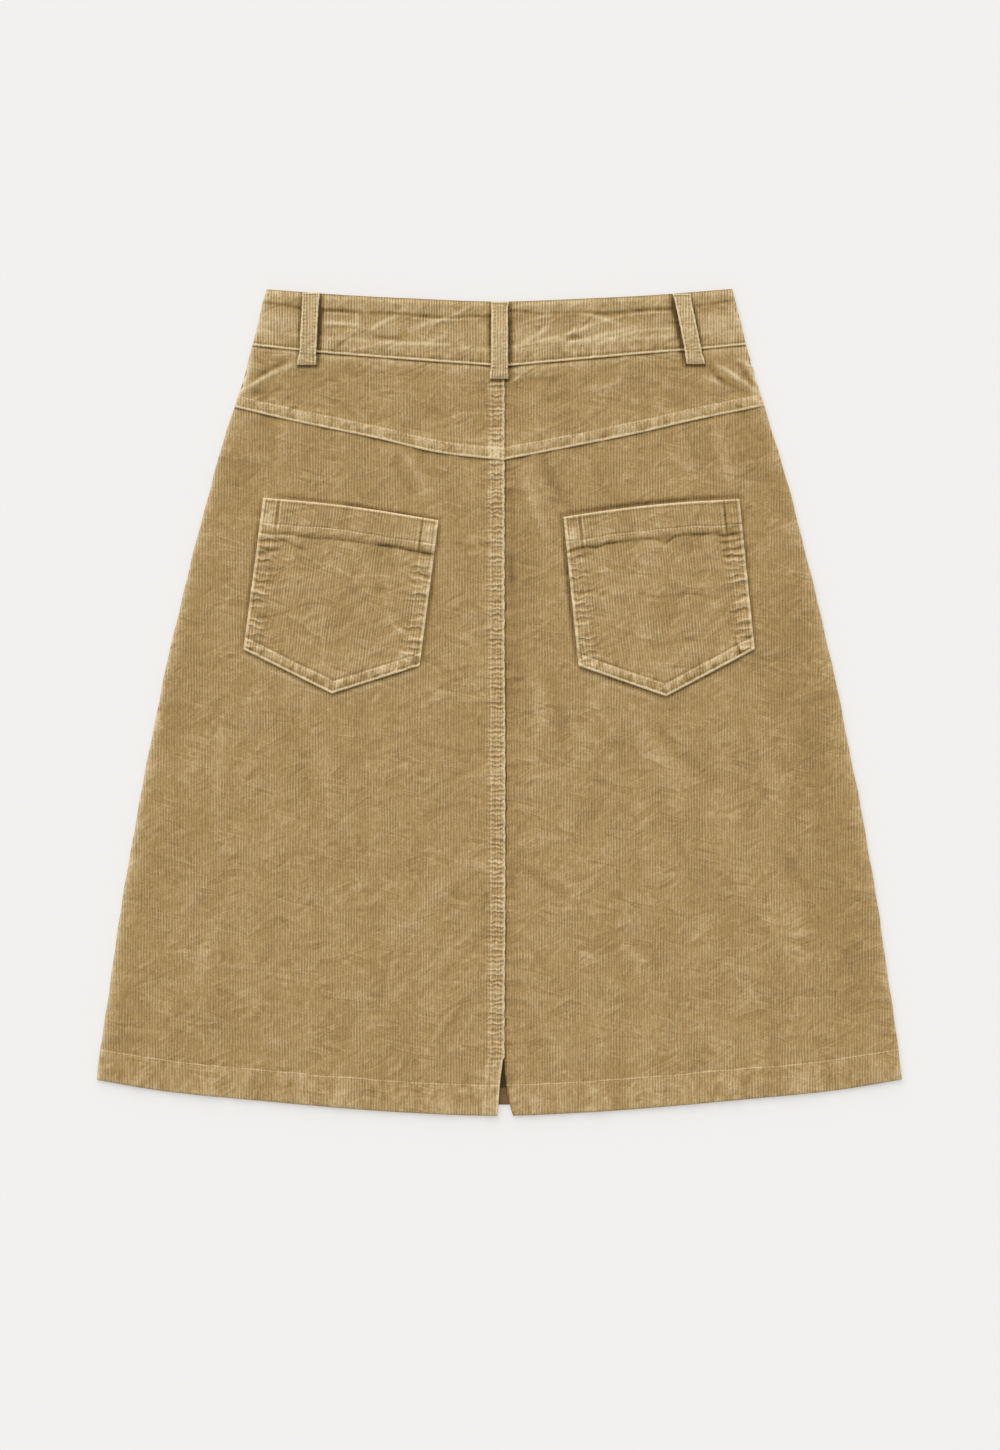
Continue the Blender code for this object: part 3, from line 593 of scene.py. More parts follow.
def smooth_line(points):
    """A smooth curve through a table's rows, as a function of its first column."""
    knots, values = np.array(points).T
    slopes = np.gradient(values, knots)

    def at(place):
        place = np.clip(place, knots[0], knots[-1])
        i = np.clip(np.searchsorted(knots, place) - 1, 0, len(knots) - 2)
        span = knots[i + 1] - knots[i]
        t = (place - knots[i]) / span
        start = (1 + 2 * t) * (1 - t) ** 2 * values[i] + t * (1 - t) ** 2 * span * slopes[i]
        end = t * t * (3 - 2 * t) * values[i + 1] + t * t * (t - 1) * span * slopes[i + 1]
        return start + end

    return at


waist_edge = smooth_line(WAIST_EDGE)
waist_seam = smooth_line(WAIST_SEAM)
left_yoke_seam = smooth_line(LEFT_YOKE_SEAM)
right_yoke_seam = smooth_line(RIGHT_YOKE_SEAM)
hem_line = smooth_line(HEM_LINE)
side_half = smooth_line(SIDE)


def yoke_seam(x):
    """The back yoke's lower seam, a shallow V that meets at the centre-back seam."""
    return np.where(x < SEAM_X, left_yoke_seam(x), right_yoke_seam(x))


def front_hem(x):
    """The front's hem, which ends short of the back's in the middle and meets it at the sides."""
    return hem_line(x) + FRONT_HEM_LIFT * (1 - (x / HEM_HALF) ** 2)


def vent_share(y):
    """How far down the vent a height is, from 0 at its top to 1 at the hem."""
    return np.clip((VENT_TOP - y) / (VENT_TOP - VENT_FOOT), 0.0, 1.0)


def seam_middle(y):
    """The centre-back seam's line, which ripples where stitching has gathered it."""
    ripple = sum(height * np.sin(2 * pi * y / length) for height, length in SEAM_RIPPLES)
    sewn = np.clip(1 + (y - VENT_TOP) / SEAM_RIPPLE_FADE, 0.0, 1.0)
    bow = SEAM_BOW * np.exp(-(((y - SEAM_BOW_Y) / SEAM_BOW_HALF) ** 6))
    return SEAM_X + ripple * sewn + bow


def seam_left(y):
    """The centre-back edge of the left half."""
    return seam_middle(y) - HALF_GAP - VENT_LEFT * vent_share(y) ** VENT_LEFT_BEND


def seam_right(y):
    """The centre-back edge of the right half."""
    return seam_middle(y) + HALF_GAP + VENT_RIGHT * vent_share(y) ** VENT_RIGHT_BEND


def ripples(waves, y, start):
    """The sum of small waves along a line, each with its length and its share of the start."""
    return sum(np.sin(y / length + share * start) for length, share in waves)


def back_side(side):
    """One side of the back, with the small ripples and nicks of its seam."""
    nicks = [nick for nick in NICKS if nick.side == side]

    def at(y):
        ripple = SIDE_RIPPLE * ripples(SIDE_WAVES, y, side) / 2
        depth = sum(nick.depth * np.exp(-(((y - nick.y) / nick.spread) ** 2)) for nick in nicks)
        return side * (side_half(y) + ripple - depth)

    return at


def front_side(side):
    """One side of the front, a little inside the back's."""
    return lambda y: side * (side_half(y) - FRONT_INSET)


def shifted(line, rise):
    """A line moved up, or down where its rise is below nothing."""
    return lambda x: line(x) + rise


def sway(x, y):
    """How far the back's cloth rises or falls in its slow waves and its largest folds."""
    rise = 0.0
    for wave in WAVES:
        turns = (wave.across * x + wave.along * y) * MM + wave.start
        rise = rise + wave.height * np.sin(2 * pi * turns)
    for fold in FOLDS:
        run_x, run_y = fold.x2 - fold.x1, fold.y2 - fold.y1
        length = hypot(run_x, run_y)
        along = ((x - fold.x1) * run_x + (y - fold.y1) * run_y) / length
        across = ((x - fold.x1) * run_y - (y - fold.y1) * run_x) / length
        past = np.maximum(np.maximum(-along, along - length), 0.0)
        rise = rise + fold.height * np.exp(-(across**2 + past**2) / (2 * fold.spread**2))
    return rise


def ease(share):
    """A share from 0 to 1, with its ends eased."""
    return share * share * share * (share * (share * 6 - 15) + 10)


def gradient_noise(x, y, seed):
    """Smooth noise from about -1 to 1, with cells one unit wide."""
    angles = np.random.default_rng(seed).uniform(0.0, 2 * pi, (NOISE_CELLS, NOISE_CELLS))
    cell_x, cell_y = np.floor(x).astype(int), np.floor(y).astype(int)
    total = np.zeros_like(x)
    for step_x in (0, 1):
        for step_y in (0, 1):
            angle = angles[(cell_x + step_x) % NOISE_CELLS, (cell_y + step_y) % NOISE_CELLS]
            from_x, from_y = x - cell_x - step_x, y - cell_y - step_y
            weight = ease(1 - np.abs(from_x)) * ease(1 - np.abs(from_y))
            total += weight * (np.cos(angle) * from_x + np.sin(angle) * from_y)
    return total * NOISE_GAIN


def crinkle_rise(seed, x, y):
    """The fine wandering crinkles of washed cloth."""
    rise = np.zeros_like(x)
    for number, crinkle in enumerate(CRINKLES):
        first = seed * 100 + number * 10
        turn = radians(crinkle.heading)
        along = (x * cos(turn) + y * sin(turn)) / (crinkle.spacing * crinkle.stretch)
        across = (y * cos(turn) - x * sin(turn)) / crinkle.spacing
        bend = gradient_noise(along * BEND_CELLS[0], across * BEND_CELLS[1], first + 1)
        across = across + CRINKLE_BEND * bend
        line = gradient_noise(along, across, first + 2)
        cover = gradient_noise(x / COVER_CELL, y / COVER_CELL, first + 3)
        strength = np.clip(COVER_MIDDLE + COVER_GAIN * cover, 0.0, COVER_MOST)
        rise += crinkle.height * strength * np.exp(-((line / crinkle.width) ** 2))
    return rise


def crease_fields(creases, x, y):
    """The rise and tone of many creases, each a ridge with a shallower trough beside it."""
    rise, tone = np.zeros_like(x), np.zeros_like(x)
    for crease in creases:
        run_x, run_y = crease.x2 - crease.x1, crease.y2 - crease.y1
        mid_x, mid_y = (crease.x1 + crease.x2) / 2, (crease.y1 + crease.y2) / 2
        length = hypot(run_x, run_y)
        reach = length / 2 + CREASE_REACH * crease.spread
        near = (np.abs(x - mid_x) < reach) & (np.abs(y - mid_y) < reach)
        if not near.any():
            continue
        from_x, from_y = x[near] - mid_x, y[near] - mid_y
        along = (from_x * run_x + from_y * run_y) / length
        fade = np.clip(1 - (2 * along / length) ** 2, 0.0, 1.0)
        across = (from_x * run_y - from_y * run_x) / length - crease.bend * fade
        beside = across - TROUGH_OFFSET * crease.spread
        ridge = np.exp(-(across**2) / (2 * crease.spread**2))
        trough = np.exp(-(beside**2) / (TROUGH_WIDTH * crease.spread**2))
        rise[near] += crease.height * fade * (ridge - TROUGH_DEPTH * trough)
        tone[near] += crease.tone * fade**0.5 * ridge
    return rise, tone


def trace_fields(traces, x, y):
    """The rise and tone of lines that run through points."""
    rise, tone = np.zeros_like(x), np.zeros_like(x)
    for number, trace in enumerate(traces):
        across = y - smooth_line(trace.points)(x)
        from_ends = np.minimum(x - trace.points[0][0], trace.points[-1][0] - x)
        noise = gradient_noise(x / SWELL_LENGTH, 0.0 * x + 0.5, number + TRACE_SEED)
        ridge = np.clip(from_ends / TRACE_END, 0.0, 1.0) * (1.0 + SWELL * noise)
        ridge = ridge * np.exp(-(across**2) / (2 * trace.spread**2))
        rise += trace.height * ridge
        tone += trace.tone * ridge
    return rise, tone


def crumple_creases(patch, low, high):
    """A piece's small creases, scattered over its box."""
    crumple = patch.crumple
    rng = np.random.default_rng(patch.seed)
    area = (high[0] - low[0]) * (high[1] - low[1])
    creases = []
    for _ in range(round(crumple.share * area / 1e4)):
        x, y = rng.uniform(low[0], high[0]), rng.uniform(low[1], high[1])
        heading = radians(crumple.heading + rng.normal(0.0, crumple.stray))
        half = crumple.length * rng.uniform(*CRUMPLE_LENGTHS) / 2
        height = crumple.height * rng.uniform(*CRUMPLE_HEIGHTS) * rng.choice((-1.0, 1.0))
        spread = crumple.spread * rng.uniform(*CRUMPLE_SPREADS)
        bend = rng.normal(0.0, CRUMPLE_BEND) * half
        run_x, run_y = half * cos(heading), half * sin(heading)
        creases.append(Crease(x - run_x, y - run_y, x + run_x, y + run_y, height, spread, bend))
    return tuple(creases)


def border_distance(patch, border, x, y):
    """How far in from a border a point is, and where along the border."""
    across, along = (x, y) if border in ("left", "right") else (y, x)
    inward = across - getattr(patch, border)(along)
    return (-inward if border in ("right", "top") else inward), along


def pucker_rise(patch, x, y):
    """The rise of the puckers along a piece's sewn borders."""
    rise = np.zeros_like(x)
    for number, pucker in enumerate(patch.puckers):
        rng = np.random.default_rng(patch.seed * 10 + number)
        inward, along = border_distance(patch, pucker.border, x, y)
        strip = inward < PUCKER_STRIP * pucker.reach
        inward, along = inward[strip], along[strip]
        if not len(along):
            continue
        raised = np.zeros_like(along)
        place = along.min()
        while place < along.max():
            place += pucker.spacing * rng.uniform(*PUCKER_SPACINGS)
            width = pucker.width * rng.uniform(*PUCKER_WIDTHS)
            reach = pucker.reach * rng.uniform(*PUCKER_REACHES)
            height = pucker.height * rng.uniform(*PUCKER_HEIGHTS) * rng.choice((-1.0, 1.0))
            slant = rng.normal(0.0, PUCKER_SLANT)
            near = np.abs(along - place) < 3 * width + abs(slant) * pucker.reach
            across = along[near] - place - slant * inward[near]
            fade = np.exp(-((inward[near] / reach) ** 2))
            raised[near] += height * fade * np.exp(-(across**2) / (2 * width**2))
        rise[strip] += raised
    return rise


def gathering(patch, borders, x, y):
    """How strongly the stitching of two of a piece's borders gathers its cloth."""
    calm = 1.0
    if "left" in borders:
        calm = np.clip(1 + (y - VENT_TOP) / VENT_FADE, 0.0, 1.0)
        calm = calm * (1 - FELL_CALM * np.exp(-(((y - FELL_CROSSING) / FELL_HALF) ** 4)))
        if patch.place:
            calm = calm * np.clip(-(y + POCKET_BAND) / HEM_FADE, HEM_GATHERS, 1.0)
    strength = np.zeros_like(x)
    for rungs in patch.rungs:
        if rungs.border in borders:
            inward, _ = border_distance(patch, rungs.border, x, y)
            fade = np.clip((rungs.reach - inward) / RUNG_FADE + 1, 0.0, 1.0)
            fade = fade * np.clip((inward - RUNG_START) / RUNG_RISE, 0.0, 1.0)
            strength = np.maximum(strength, rungs.strength * fade * calm)
    return strength


def rims(patch, x, y, column):
    """What a piece's four border profiles add up to."""
    total = np.zeros_like(x)
    for number, border in enumerate(("left", "right", "bottom", "top")):
        rim = getattr(patch, border + "_rim")
        inward, along = border_distance(patch, border, x, y)
        wander = gradient_noise(along / WANDER_LENGTH, 0.0 * along + 0.5, patch.seed * 10 + number)
        inward = inward + patch.uneven * wander * np.clip(inward / WANDER_FROM, 0.0, 1.0)
        values = [getattr(step, column) for step in rim]
        total += np.interp(inward, [step.inward for step in rim], values)
    return total


def fine_rise(patch, creases, x, y):
    """The small relief that the plain solid doesn't have."""
    rise, _ = crease_fields(patch.creases + creases, x, y)
    traced, _ = trace_fields(patch.traces, x, y)
    crinkles = patch.crinkled * crinkle_rise(patch.seed, x, y)
    return rise + traced + crinkles + pucker_rise(patch, x, y)


def underside_at(patch, x, y):
    """The height of a piece's lower side."""
    if callable(patch.underside):
        return patch.underside(x, y)
    return np.full_like(x, patch.underside)


def top_at(patch, creases, x, y):
    """The height of a piece's upper side."""
    rise = rims(patch, x, y, "rise") + fine_rise(patch, creases, x, y)
    if patch.sways:
        rise = rise + sway(x, y)
    return underside_at(patch, x, y) + np.maximum(patch.wall + rise, EDGE_WALL)


def stations(low_rim, high_rim, length, pitch, middle=0.5):
    """Where a grid's lines cross between two borders, as shares of the way and offsets.

    There is a line at each step of both profiles, and lines at an even pitch between them.
    """

    def offsets(rim):
        steps = [step.inward for step in rim]
        found = [steps[0]]
        for start, end in zip(steps, steps[1:]):
            count = max(1, round((end - start) / pitch))
            found += [start + (end - start) * (k + 1) / count for k in range(count)]
        return np.array(found)

    low, high = offsets(low_rim), offsets(high_rim)
    spans = round((length - low[-1] - high[-1]) / pitch)
    even = np.arange(spans + 1) / spans
    share = even + 4 * even * (1 - even) * (middle - 0.5)
    between = low[-1] * (1 - share) - high[-1] * share
    shares = np.concatenate((np.zeros(len(low) - 1), share, np.ones(len(high) - 1)))
    return shares, np.concatenate((low[:-1], between, -high[:-1][::-1]))


def crossings(patch, columns, rows):
    """The points where a grid's columns and rows cross, found by turns because each bends."""
    x = np.zeros((len(rows[0]), len(columns[0])))
    y = np.zeros_like(x)
    for _ in range(CROSSING_TURNS):
        low, high = patch.bottom(x), patch.top(x)
        y = low + rows[0][:, None] * (high - low) + rows[1][:, None]
        low, high = patch.left(y), patch.right(y)
        x = low + columns[0] * (high - low) + columns[1]
    return x, y


def piece_from(bm, name, materials):
    """A finished bmesh as an object at the origin."""
    bmesh.ops.scale(bm, verts=bm.verts, vec=(MM, MM, MM))
    bmesh.ops.recalc_face_normals(bm, faces=bm.faces)
    mesh = bpy.data.meshes.new(name)
    bm.to_mesh(mesh)
    bm.free()
    for material in materials:
        mesh.materials.append(material)
    mesh.shade_smooth()
    mesh.set_sharp_from_angle(angle=SHARP_ANGLE)
    piece = bpy.data.objects.new(name, mesh)
    bpy.context.collection.objects.link(piece)
    return piece


def patch_points(patch):
    """The points of a piece's grid, in rows and columns, and its scattered creases."""
    across, along = patch.span
    columns = stations(patch.left_rim, patch.right_rim, across, patch.pitch, patch.middle)
    rows = stations(patch.bottom_rim, patch.top_rim, along, patch.pitch)
    x, y = crossings(patch, columns, rows)
    return x, y, crumple_creases(patch, (x.min(), y.min()), (x.max(), y.max()))


def placed(patch, x, y):
    """Where points of a patch lie on the skirt, if it is drawn in its own axes."""
    return patch.place(x, y) if patch.place else (x, y)


def cloth_piece(patch, materials):
    """A piece of cloth: a fine upper side, the wall round its edge and a plain lower side."""
    x, y, creases = patch_points(patch)
    _, crease_tone = crease_fields(patch.creases + creases, x, y)
    _, traced_tone = trace_fields(patch.traces, x, y)
    on_x, on_y = placed(patch, x, y)
    fields = {
        "top": top_at(patch, creases, x, y),
        "lower": underside_at(patch, x, y),
        # The tone is worn pale in places and darkened with painted shade in others.
        "tone": rims(patch, x, y, "tone") + crease_tone + traced_tone,
        # The colour follows the fine relief: paler where it is raised, darker in its hollows as
        # painted shade.
        "proud": fine_rise(patch, creases, x, y),
        "side_gathers": gathering(patch, ("left", "right"), x, y),
        "end_gathers": gathering(patch, ("bottom", "top"), x, y),
    }
    bm = bmesh.new()
    layers = {name: bm.verts.layers.float.new(name) for name in fields if name != "top"}
    grain = bm.verts.layers.float_vector.new("grain")
    bmesh.ops.create_grid(bm, x_segments=x.shape[1] - 1, y_segments=x.shape[0] - 1, size=1.0)
    corner = np.array([vert.co for vert in bm.verts])
    column = np.rint((corner[:, 0] + 1) / 2 * (x.shape[1] - 1)).astype(int)
    row = np.rint((corner[:, 1] + 1) / 2 * (x.shape[0] - 1)).astype(int)
    for vert, i, j in zip(bm.verts, row, column):
        vert.co = (on_x[i, j], on_y[i, j], fields["top"][i, j])
        vert[grain] = (x[i, j], y[i, j], 0.0)
        for name, layer in layers.items():
            vert[layer] = fields[name][i, j]
    rim = [edge for edge in bm.edges if edge.is_boundary]
    wall = bmesh.ops.extrude_edge_only(bm, edges=rim)["geom"]
    for vert in wall:
        if isinstance(vert, bmesh.types.BMVert):
            vert.co.z = vert[layers["lower"]]
    foot = [item for item in wall if isinstance(item, bmesh.types.BMEdge)]
    foot = [edge for edge in foot if edge.is_boundary]
    bmesh.ops.edgeloop_fill(bm, edges=foot)
    return piece_from(bm, patch.name + "_cloth", materials)


# Finishes.

# The cloth's noises: how long a cell is across and along the wales and upwards, in millimetres, its
# detail and its roughness.
Cells = namedtuple("Cells", "across along detail roughness up", defaults=(2.0, 0.5, 1.0))
SWELLS = Cells(34.0, 7.0, 1.0)
END_RUNGS = Cells(5.0, 14.0, roughness=0.6)
DRIFTS = Cells(9.0, 26.0)
SHOWN = Cells(16.0, 26.0, 3.0)
PATCHES = Cells(20.0, 70.0, 3.0)
PILE = Cells(1.1, 1.5, 3.0, 0.7)
WORN = Cells(3.3, 6.5, 4.0, 0.6)
WEAVE = Cells(0.8, 0.8)
INNER_PATCHES = Cells(30.0, 30.0, 3.0)

# The thread's flecks, in metres.
FLECKS = Cells(0.002, 0.002, up=0.002)

# The thin crinkles: their direction in degrees, their lines' cells and the cells that they come and
# go in.
ThinCrinkles = namedtuple("ThinCrinkles", "heading lines cover")
LEVEL_CRINKLES = ThinCrinkles(12, Cells(36.0, 7.0, 1.0, 0.4), Cells(24.0, 18.0, 1.0))
SLANTED_CRINKLES = ThinCrinkles(-28, Cells(40.0, 8.0, 1.0, 0.4), Cells(20.0, 22.0, 1.0))

# How much each feature of corduroy shows in its colour and in its bumps.
Shares = namedtuple(
    "Shares", "wales pile worn crinkles gathers streaks patches relief", defaults=(0.0, 0.0, 0.0)
)
COLOURED = Shares(0.73, 2.1, 1.0, 0.34, 0.8, 1.3, 0.95, 0.45)
RAISED = Shares(0.18, 0.4, 0.9, 0.1, 0.28)
END_GATHERS = 7.0
WORN_TONE = 2.6
PLAIN_TONE = 0.5
INNER_SHADE = 0.2
SPECULAR = 0.15
MATT = 0.9
PILE_SHEEN = {"Sheen Roughness": 0.5, "Sheen Tint": (1.0, 0.93, 0.8, 1.0)}


class Socket:
    """A value in a material, on which Python's operators add Math nodes."""

    def __init__(self, finish, output):
        self.finish = finish
        self.output = output

    def __add__(self, other):
        return self.finish.math("ADD", self, other)

    def __sub__(self, other):
        return self.finish.math("SUBTRACT", self, other)

    def __mul__(self, other):
        return self.finish.math("MULTIPLY", self, other)


class Finish:
    """A material, all of whose nodes come from one method."""

    def __init__(self, name):
        self.material = bpy.data.materials.new(name)
        self.material.use_nodes = True
        self.tree = self.material.node_tree
        self.tree.nodes.clear()

    def node(self, kind, settings, sockets, output=0):
        """Adds a node. Settings are set first, then its sockets' values or links."""
        made = self.tree.nodes.new("ShaderNode" + kind)
        for name, value in settings.items():
            setattr(made, name, value)
        for name, value in sockets.items():
            if isinstance(value, Socket):
                self.tree.links.new(value.output, made.inputs[name])
            else:
                made.inputs[name].default_value = value
        return Socket(self, made.outputs[output]) if made.outputs else None

    def math(self, operation, first, second=0.0):
        return self.node("Math", {"operation": operation}, {0: first, 1: second})

    def ramped(self, value, slope, start):
        """A straight line through a value, kept between 0 and 1."""
        settings = {"operation": "MULTIPLY_ADD", "use_clamp": True}
        return self.node("Math", settings, {0: value, 1: slope, 2: start})

    def attribute(self, name, output="Fac"):
        return self.node("Attribute", {"attribute_name": name}, {}, output)

    def noise(self, place, cells):
        """Soft noise from 0 to 1."""
        stretch = (cells.across, cells.along, cells.up)
        scaled = self.node("VectorMath", {"operation": "DIVIDE"}, {0: place, 1: stretch})
        fineness = {"Scale": 1.0, "Detail": cells.detail, "Roughness": cells.roughness}
        return self.node("TexNoise", {}, {"Vector": scaled, **fineness})

    def coloured(self, value, stops):
        """A colour for each value, blended between stops."""
        colour = self.node("ValToRGB", {}, {"Fac": value}, "Color")
        elements = colour.output.node.color_ramp.elements
        while len(elements) < len(stops):
            elements.new(1.0)
        for element, (place, shade) in zip(elements, stops):
            element.position = place
            element.color = (*shade, 1.0)
        return colour

    def bumped(self, height):
        """The cloth's normal, bumped by a height in millimetres."""
        sockets = {"Strength": 1.0, "Distance": MM, "Height": height}
        return self.node("Bump", {}, sockets, "Normal")

    def close(self, colour, roughness, sockets):
        """Adds the shader and the output."""
        plain = {"Base Color": colour, "Roughness": roughness, "Specular IOR Level": SPECULAR}
        shader = self.node("BsdfPrincipled", {}, {**plain, **sockets})
        self.node("OutputMaterial", {}, {"Surface": shader})
        return self.material


def thin_crinkles(cloth, place, crinkles):
    """Thin crinkles that come and go: each a line of worn pile with painted shade beside it."""
    sockets = {0: place, "Angle": radians(crinkles.heading)}
    turned = cloth.node("VectorRotate", {"rotation_type": "Z_AXIS"}, sockets)
    field = cloth.noise(turned, crinkles.lines)
    worn, shade = (
        cloth.ramped(cloth.math("ABSOLUTE", field - middle), -CRINKLE_SHARPNESS, 1.0)
        for middle in (0.5, 0.5 + CRINKLE_SHADE)
    )
    cover = cloth.ramped(cloth.noise(place, crinkles.cover), 5.0, -2.2)
    return (worn - shade * 0.9) * cover


def corduroy(name, settings, shift, contrast, gathers):
    """Washed fine corduroy: broken wales, a speckled pile, worn ridges, and painted shade at seam
    edges.

    shift makes the whole cloth paler or darker, contrast scales its wales, and gathers says what
    the rungs at its sides are like.
    """
    cloth = Finish(name)
    grain = cloth.attribute("grain", "Vector")
    tone = cloth.attribute("tone")
    across = cloth.node("SeparateXYZ", {}, {0: grain}, "X")
    along = cloth.node("SeparateXYZ", {}, {0: grain}, "Y")
    warp = cloth.noise(grain, Cells(gathers.width, 8.0, 1.0)) - 0.5
    swell = cloth.ramped(cloth.noise(grain, SWELLS), 3.2, -0.9)
    phase = (along + warp * gathers.stray) * (2 * pi / gathers.pitch)
    ridge = cloth.math("SINE", phase) + cloth.math("SINE", phase * 2.0) * gathers.steepness
    end_rungs = cloth.noise(grain, END_RUNGS) - 0.5
    rung = ridge * swell * cloth.attribute("side_gathers")
    rung = rung + end_rungs * cloth.attribute("end_gathers") * END_GATHERS
    drift = cloth.noise(grain, DRIFTS) - 0.5
    wale = cloth.math("COSINE", (across + drift * settings.drift) * (2 * pi / settings.pitch))
    shown = cloth.ramped(cloth.noise(grain, SHOWN), 3.4, -1.2)
    lines = wale * (shown * 0.5 + 0.25) * contrast
    streak = cloth.noise(grain, Cells(settings.pitch * 0.6, 9.0)) - 0.5
    patch = cloth.noise(grain, PATCHES) - 0.5
    pile = cloth.noise(grain, PILE)
    worn = cloth.noise(grain, WORN)
    level = thin_crinkles(cloth, grain, LEVEL_CRINKLES)
    crinkle = level + thin_crinkles(cloth, grain, SLANTED_CRINKLES)
    # Wales, pile, wear and random patches, then crinkles with painted shade beside them, the
    # relief's
    # and gathers' paler ridges with painted shade in their hollows, and the tone.
    place = lines * COLOURED.wales + streak * COLOURED.streaks + (pile - 0.5) * COLOURED.pile
    place = place + (worn - 0.5) * COLOURED.worn + patch * COLOURED.patches
    place = place + crinkle * COLOURED.crinkles + cloth.attribute("proud") * COLOURED.relief
    place = place + rung * COLOURED.gathers + tone * (worn * WORN_TONE + PLAIN_TONE)
    stops = ((0.0, settings.shadow), (0.5, settings.body), (1.0, settings.worn))
    colour = cloth.coloured(cloth.ramped(place, 0.25, 0.5 + shift), stops)
    height = lines * RAISED.wales + pile * RAISED.pile + worn * RAISED.worn
    height = height + crinkle * RAISED.crinkles + rung * RAISED.gathers
    sockets = {**PILE_SHEEN, "Sheen Weight": settings.sheen, "Normal": cloth.bumped(height)}
    return cloth.close(colour, MATT, sockets)


def inner_cloth(name, settings):
    """The wrong side of corduroy, a plain flat weave."""
    cloth = Finish(name)
    grain = cloth.attribute("grain", "Vector")
    weave = cloth.noise(grain, WEAVE)
    patch = cloth.noise(grain, INNER_PATCHES)
    # The tone darkens the wrong side with painted shade where it shows in the vent.
    shade = (weave - 0.5) * 0.3 + (patch - 0.5) * 0.2 + cloth.attribute("tone") * 0.3 + 0.35
    dark = [INNER_SHADE * part for part in settings.shadow]
    colour = cloth.coloured(shade, ((0.0, dark), (0.6, settings.body)))
    normal = cloth.bumped(weave * 0.15)
    sockets = {**PILE_SHEEN, "Sheen Weight": settings.sheen, "Normal": normal}
    return cloth.close(colour, MATT, sockets)


def thread_finish(settings):
    """Spun sewing thread, slightly uneven in colour."""
    thread = Finish("sewing_thread")
    place = thread.node("TexCoord", {}, {}, "Object")
    stops = ((0.2, settings.dark), (0.8, settings.colour))
    colour = thread.coloured(thread.noise(place, FLECKS), stops)
    return thread.close(colour, 0.8, {**PILE_SHEEN, "Sheen Weight": 0.1})


def floor_finish(colour, glow):
    """A pale floor that gives off a little of its own light, so that shadows on it stay light."""
    floor = Finish("pale_floor")
    given_off = (*(part * glow for part in colour), 1.0)
    sockets = {"Emission Color": given_off, "Emission Strength": 1.0}
    return floor.close((*(part * (1 - glow) for part in colour), 1.0), MATT, sockets)


# The pieces.


def sew(patch, materials):
    """Makes a piece of cloth and lets it stand for its solid."""
    piece = cloth_piece(patch, materials)
    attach(piece, BODY)
    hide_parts(patch.name)


def front_patches():
    """The front's waistband and panel, whose inner side faces up."""
    band = Patch(
        name="waistband_front", left=front_side(-1), right=front_side(1),
        bottom=shifted(waist_seam, HALF_GAP), top=waist_edge,
        left_rim=FRONT_SIDE, right_rim=FRONT_SIDE, bottom_rim=PLAIN_EDGE, top_rim=PLAIN_EDGE,
        underside=0.0, wall=FRONT_BAND_WALL, pitch=4.0, span=(365, 44), seed=1,
        cut=(0.376, 0.047), area=0.0170, rests_on=["front_panel"],
    )
    panel = band._replace(
        name="front_panel", bottom=front_hem, top=shifted(waist_seam, -HALF_GAP),
        bottom_rim=FRONT_HEM, wall=FRONT_WALL, span=(500, 570), seed=2,
        cut=(0.626, 0.60), area=0.30, rests_on=[],
    )
    return band, panel


def moved(crease, place):
    """A crease that is drawn in a pocket's own axes, where it lies on the skirt."""
    x1, y1 = place(crease.x1, crease.y1)
    x2, y2 = place(crease.x2, crease.y2)
    return crease._replace(x1=x1, y1=y1, x2=x2, y2=y2)


def loop_middle(loop, y):
    """The middle line of a belt loop."""
    return loop.foot_x + (loop.top_x - loop.foot_x) / (loop.top_y - loop.foot_y) * (y - loop.foot_y)


def painted_shade_lines():
    """The lines of painted shade on the cloth close beside the pockets and the belt loops."""
    creases = []
    for pocket in POCKETS:
        place = pocket_place(pocket)
        creases += [moved(crease, place) for crease in POCKET_SHADE_LINES[pocket.name]]
    for loop in LOOPS:
        for shade in LOOP_SHADES[loop.name]:
            offset = shade.side * (LOOP_WIDTH / 2 + 0.8 * shade.spread)
            low, high = loop.foot_y - PAST_FOOT, loop.top_y + PAST_TOP
            low_x, high_x = loop_middle(loop, low) + offset, loop_middle(loop, high) + offset
            creases.append(Crease(low_x, low, high_x, high, -0.5, shade.spread, 0.0, shade.tone))
        foot = loop.foot_y - FOOT_LINE_DROP
        reach = LOOP_WIDTH / 2 + FOOT_LINE_PAST
        left, right = loop.foot_x - reach, loop.foot_x + reach
        creases.append(Crease(left, foot, right, foot, -0.4, 0.9, 0.0, -0.8))
    return tuple(creases)


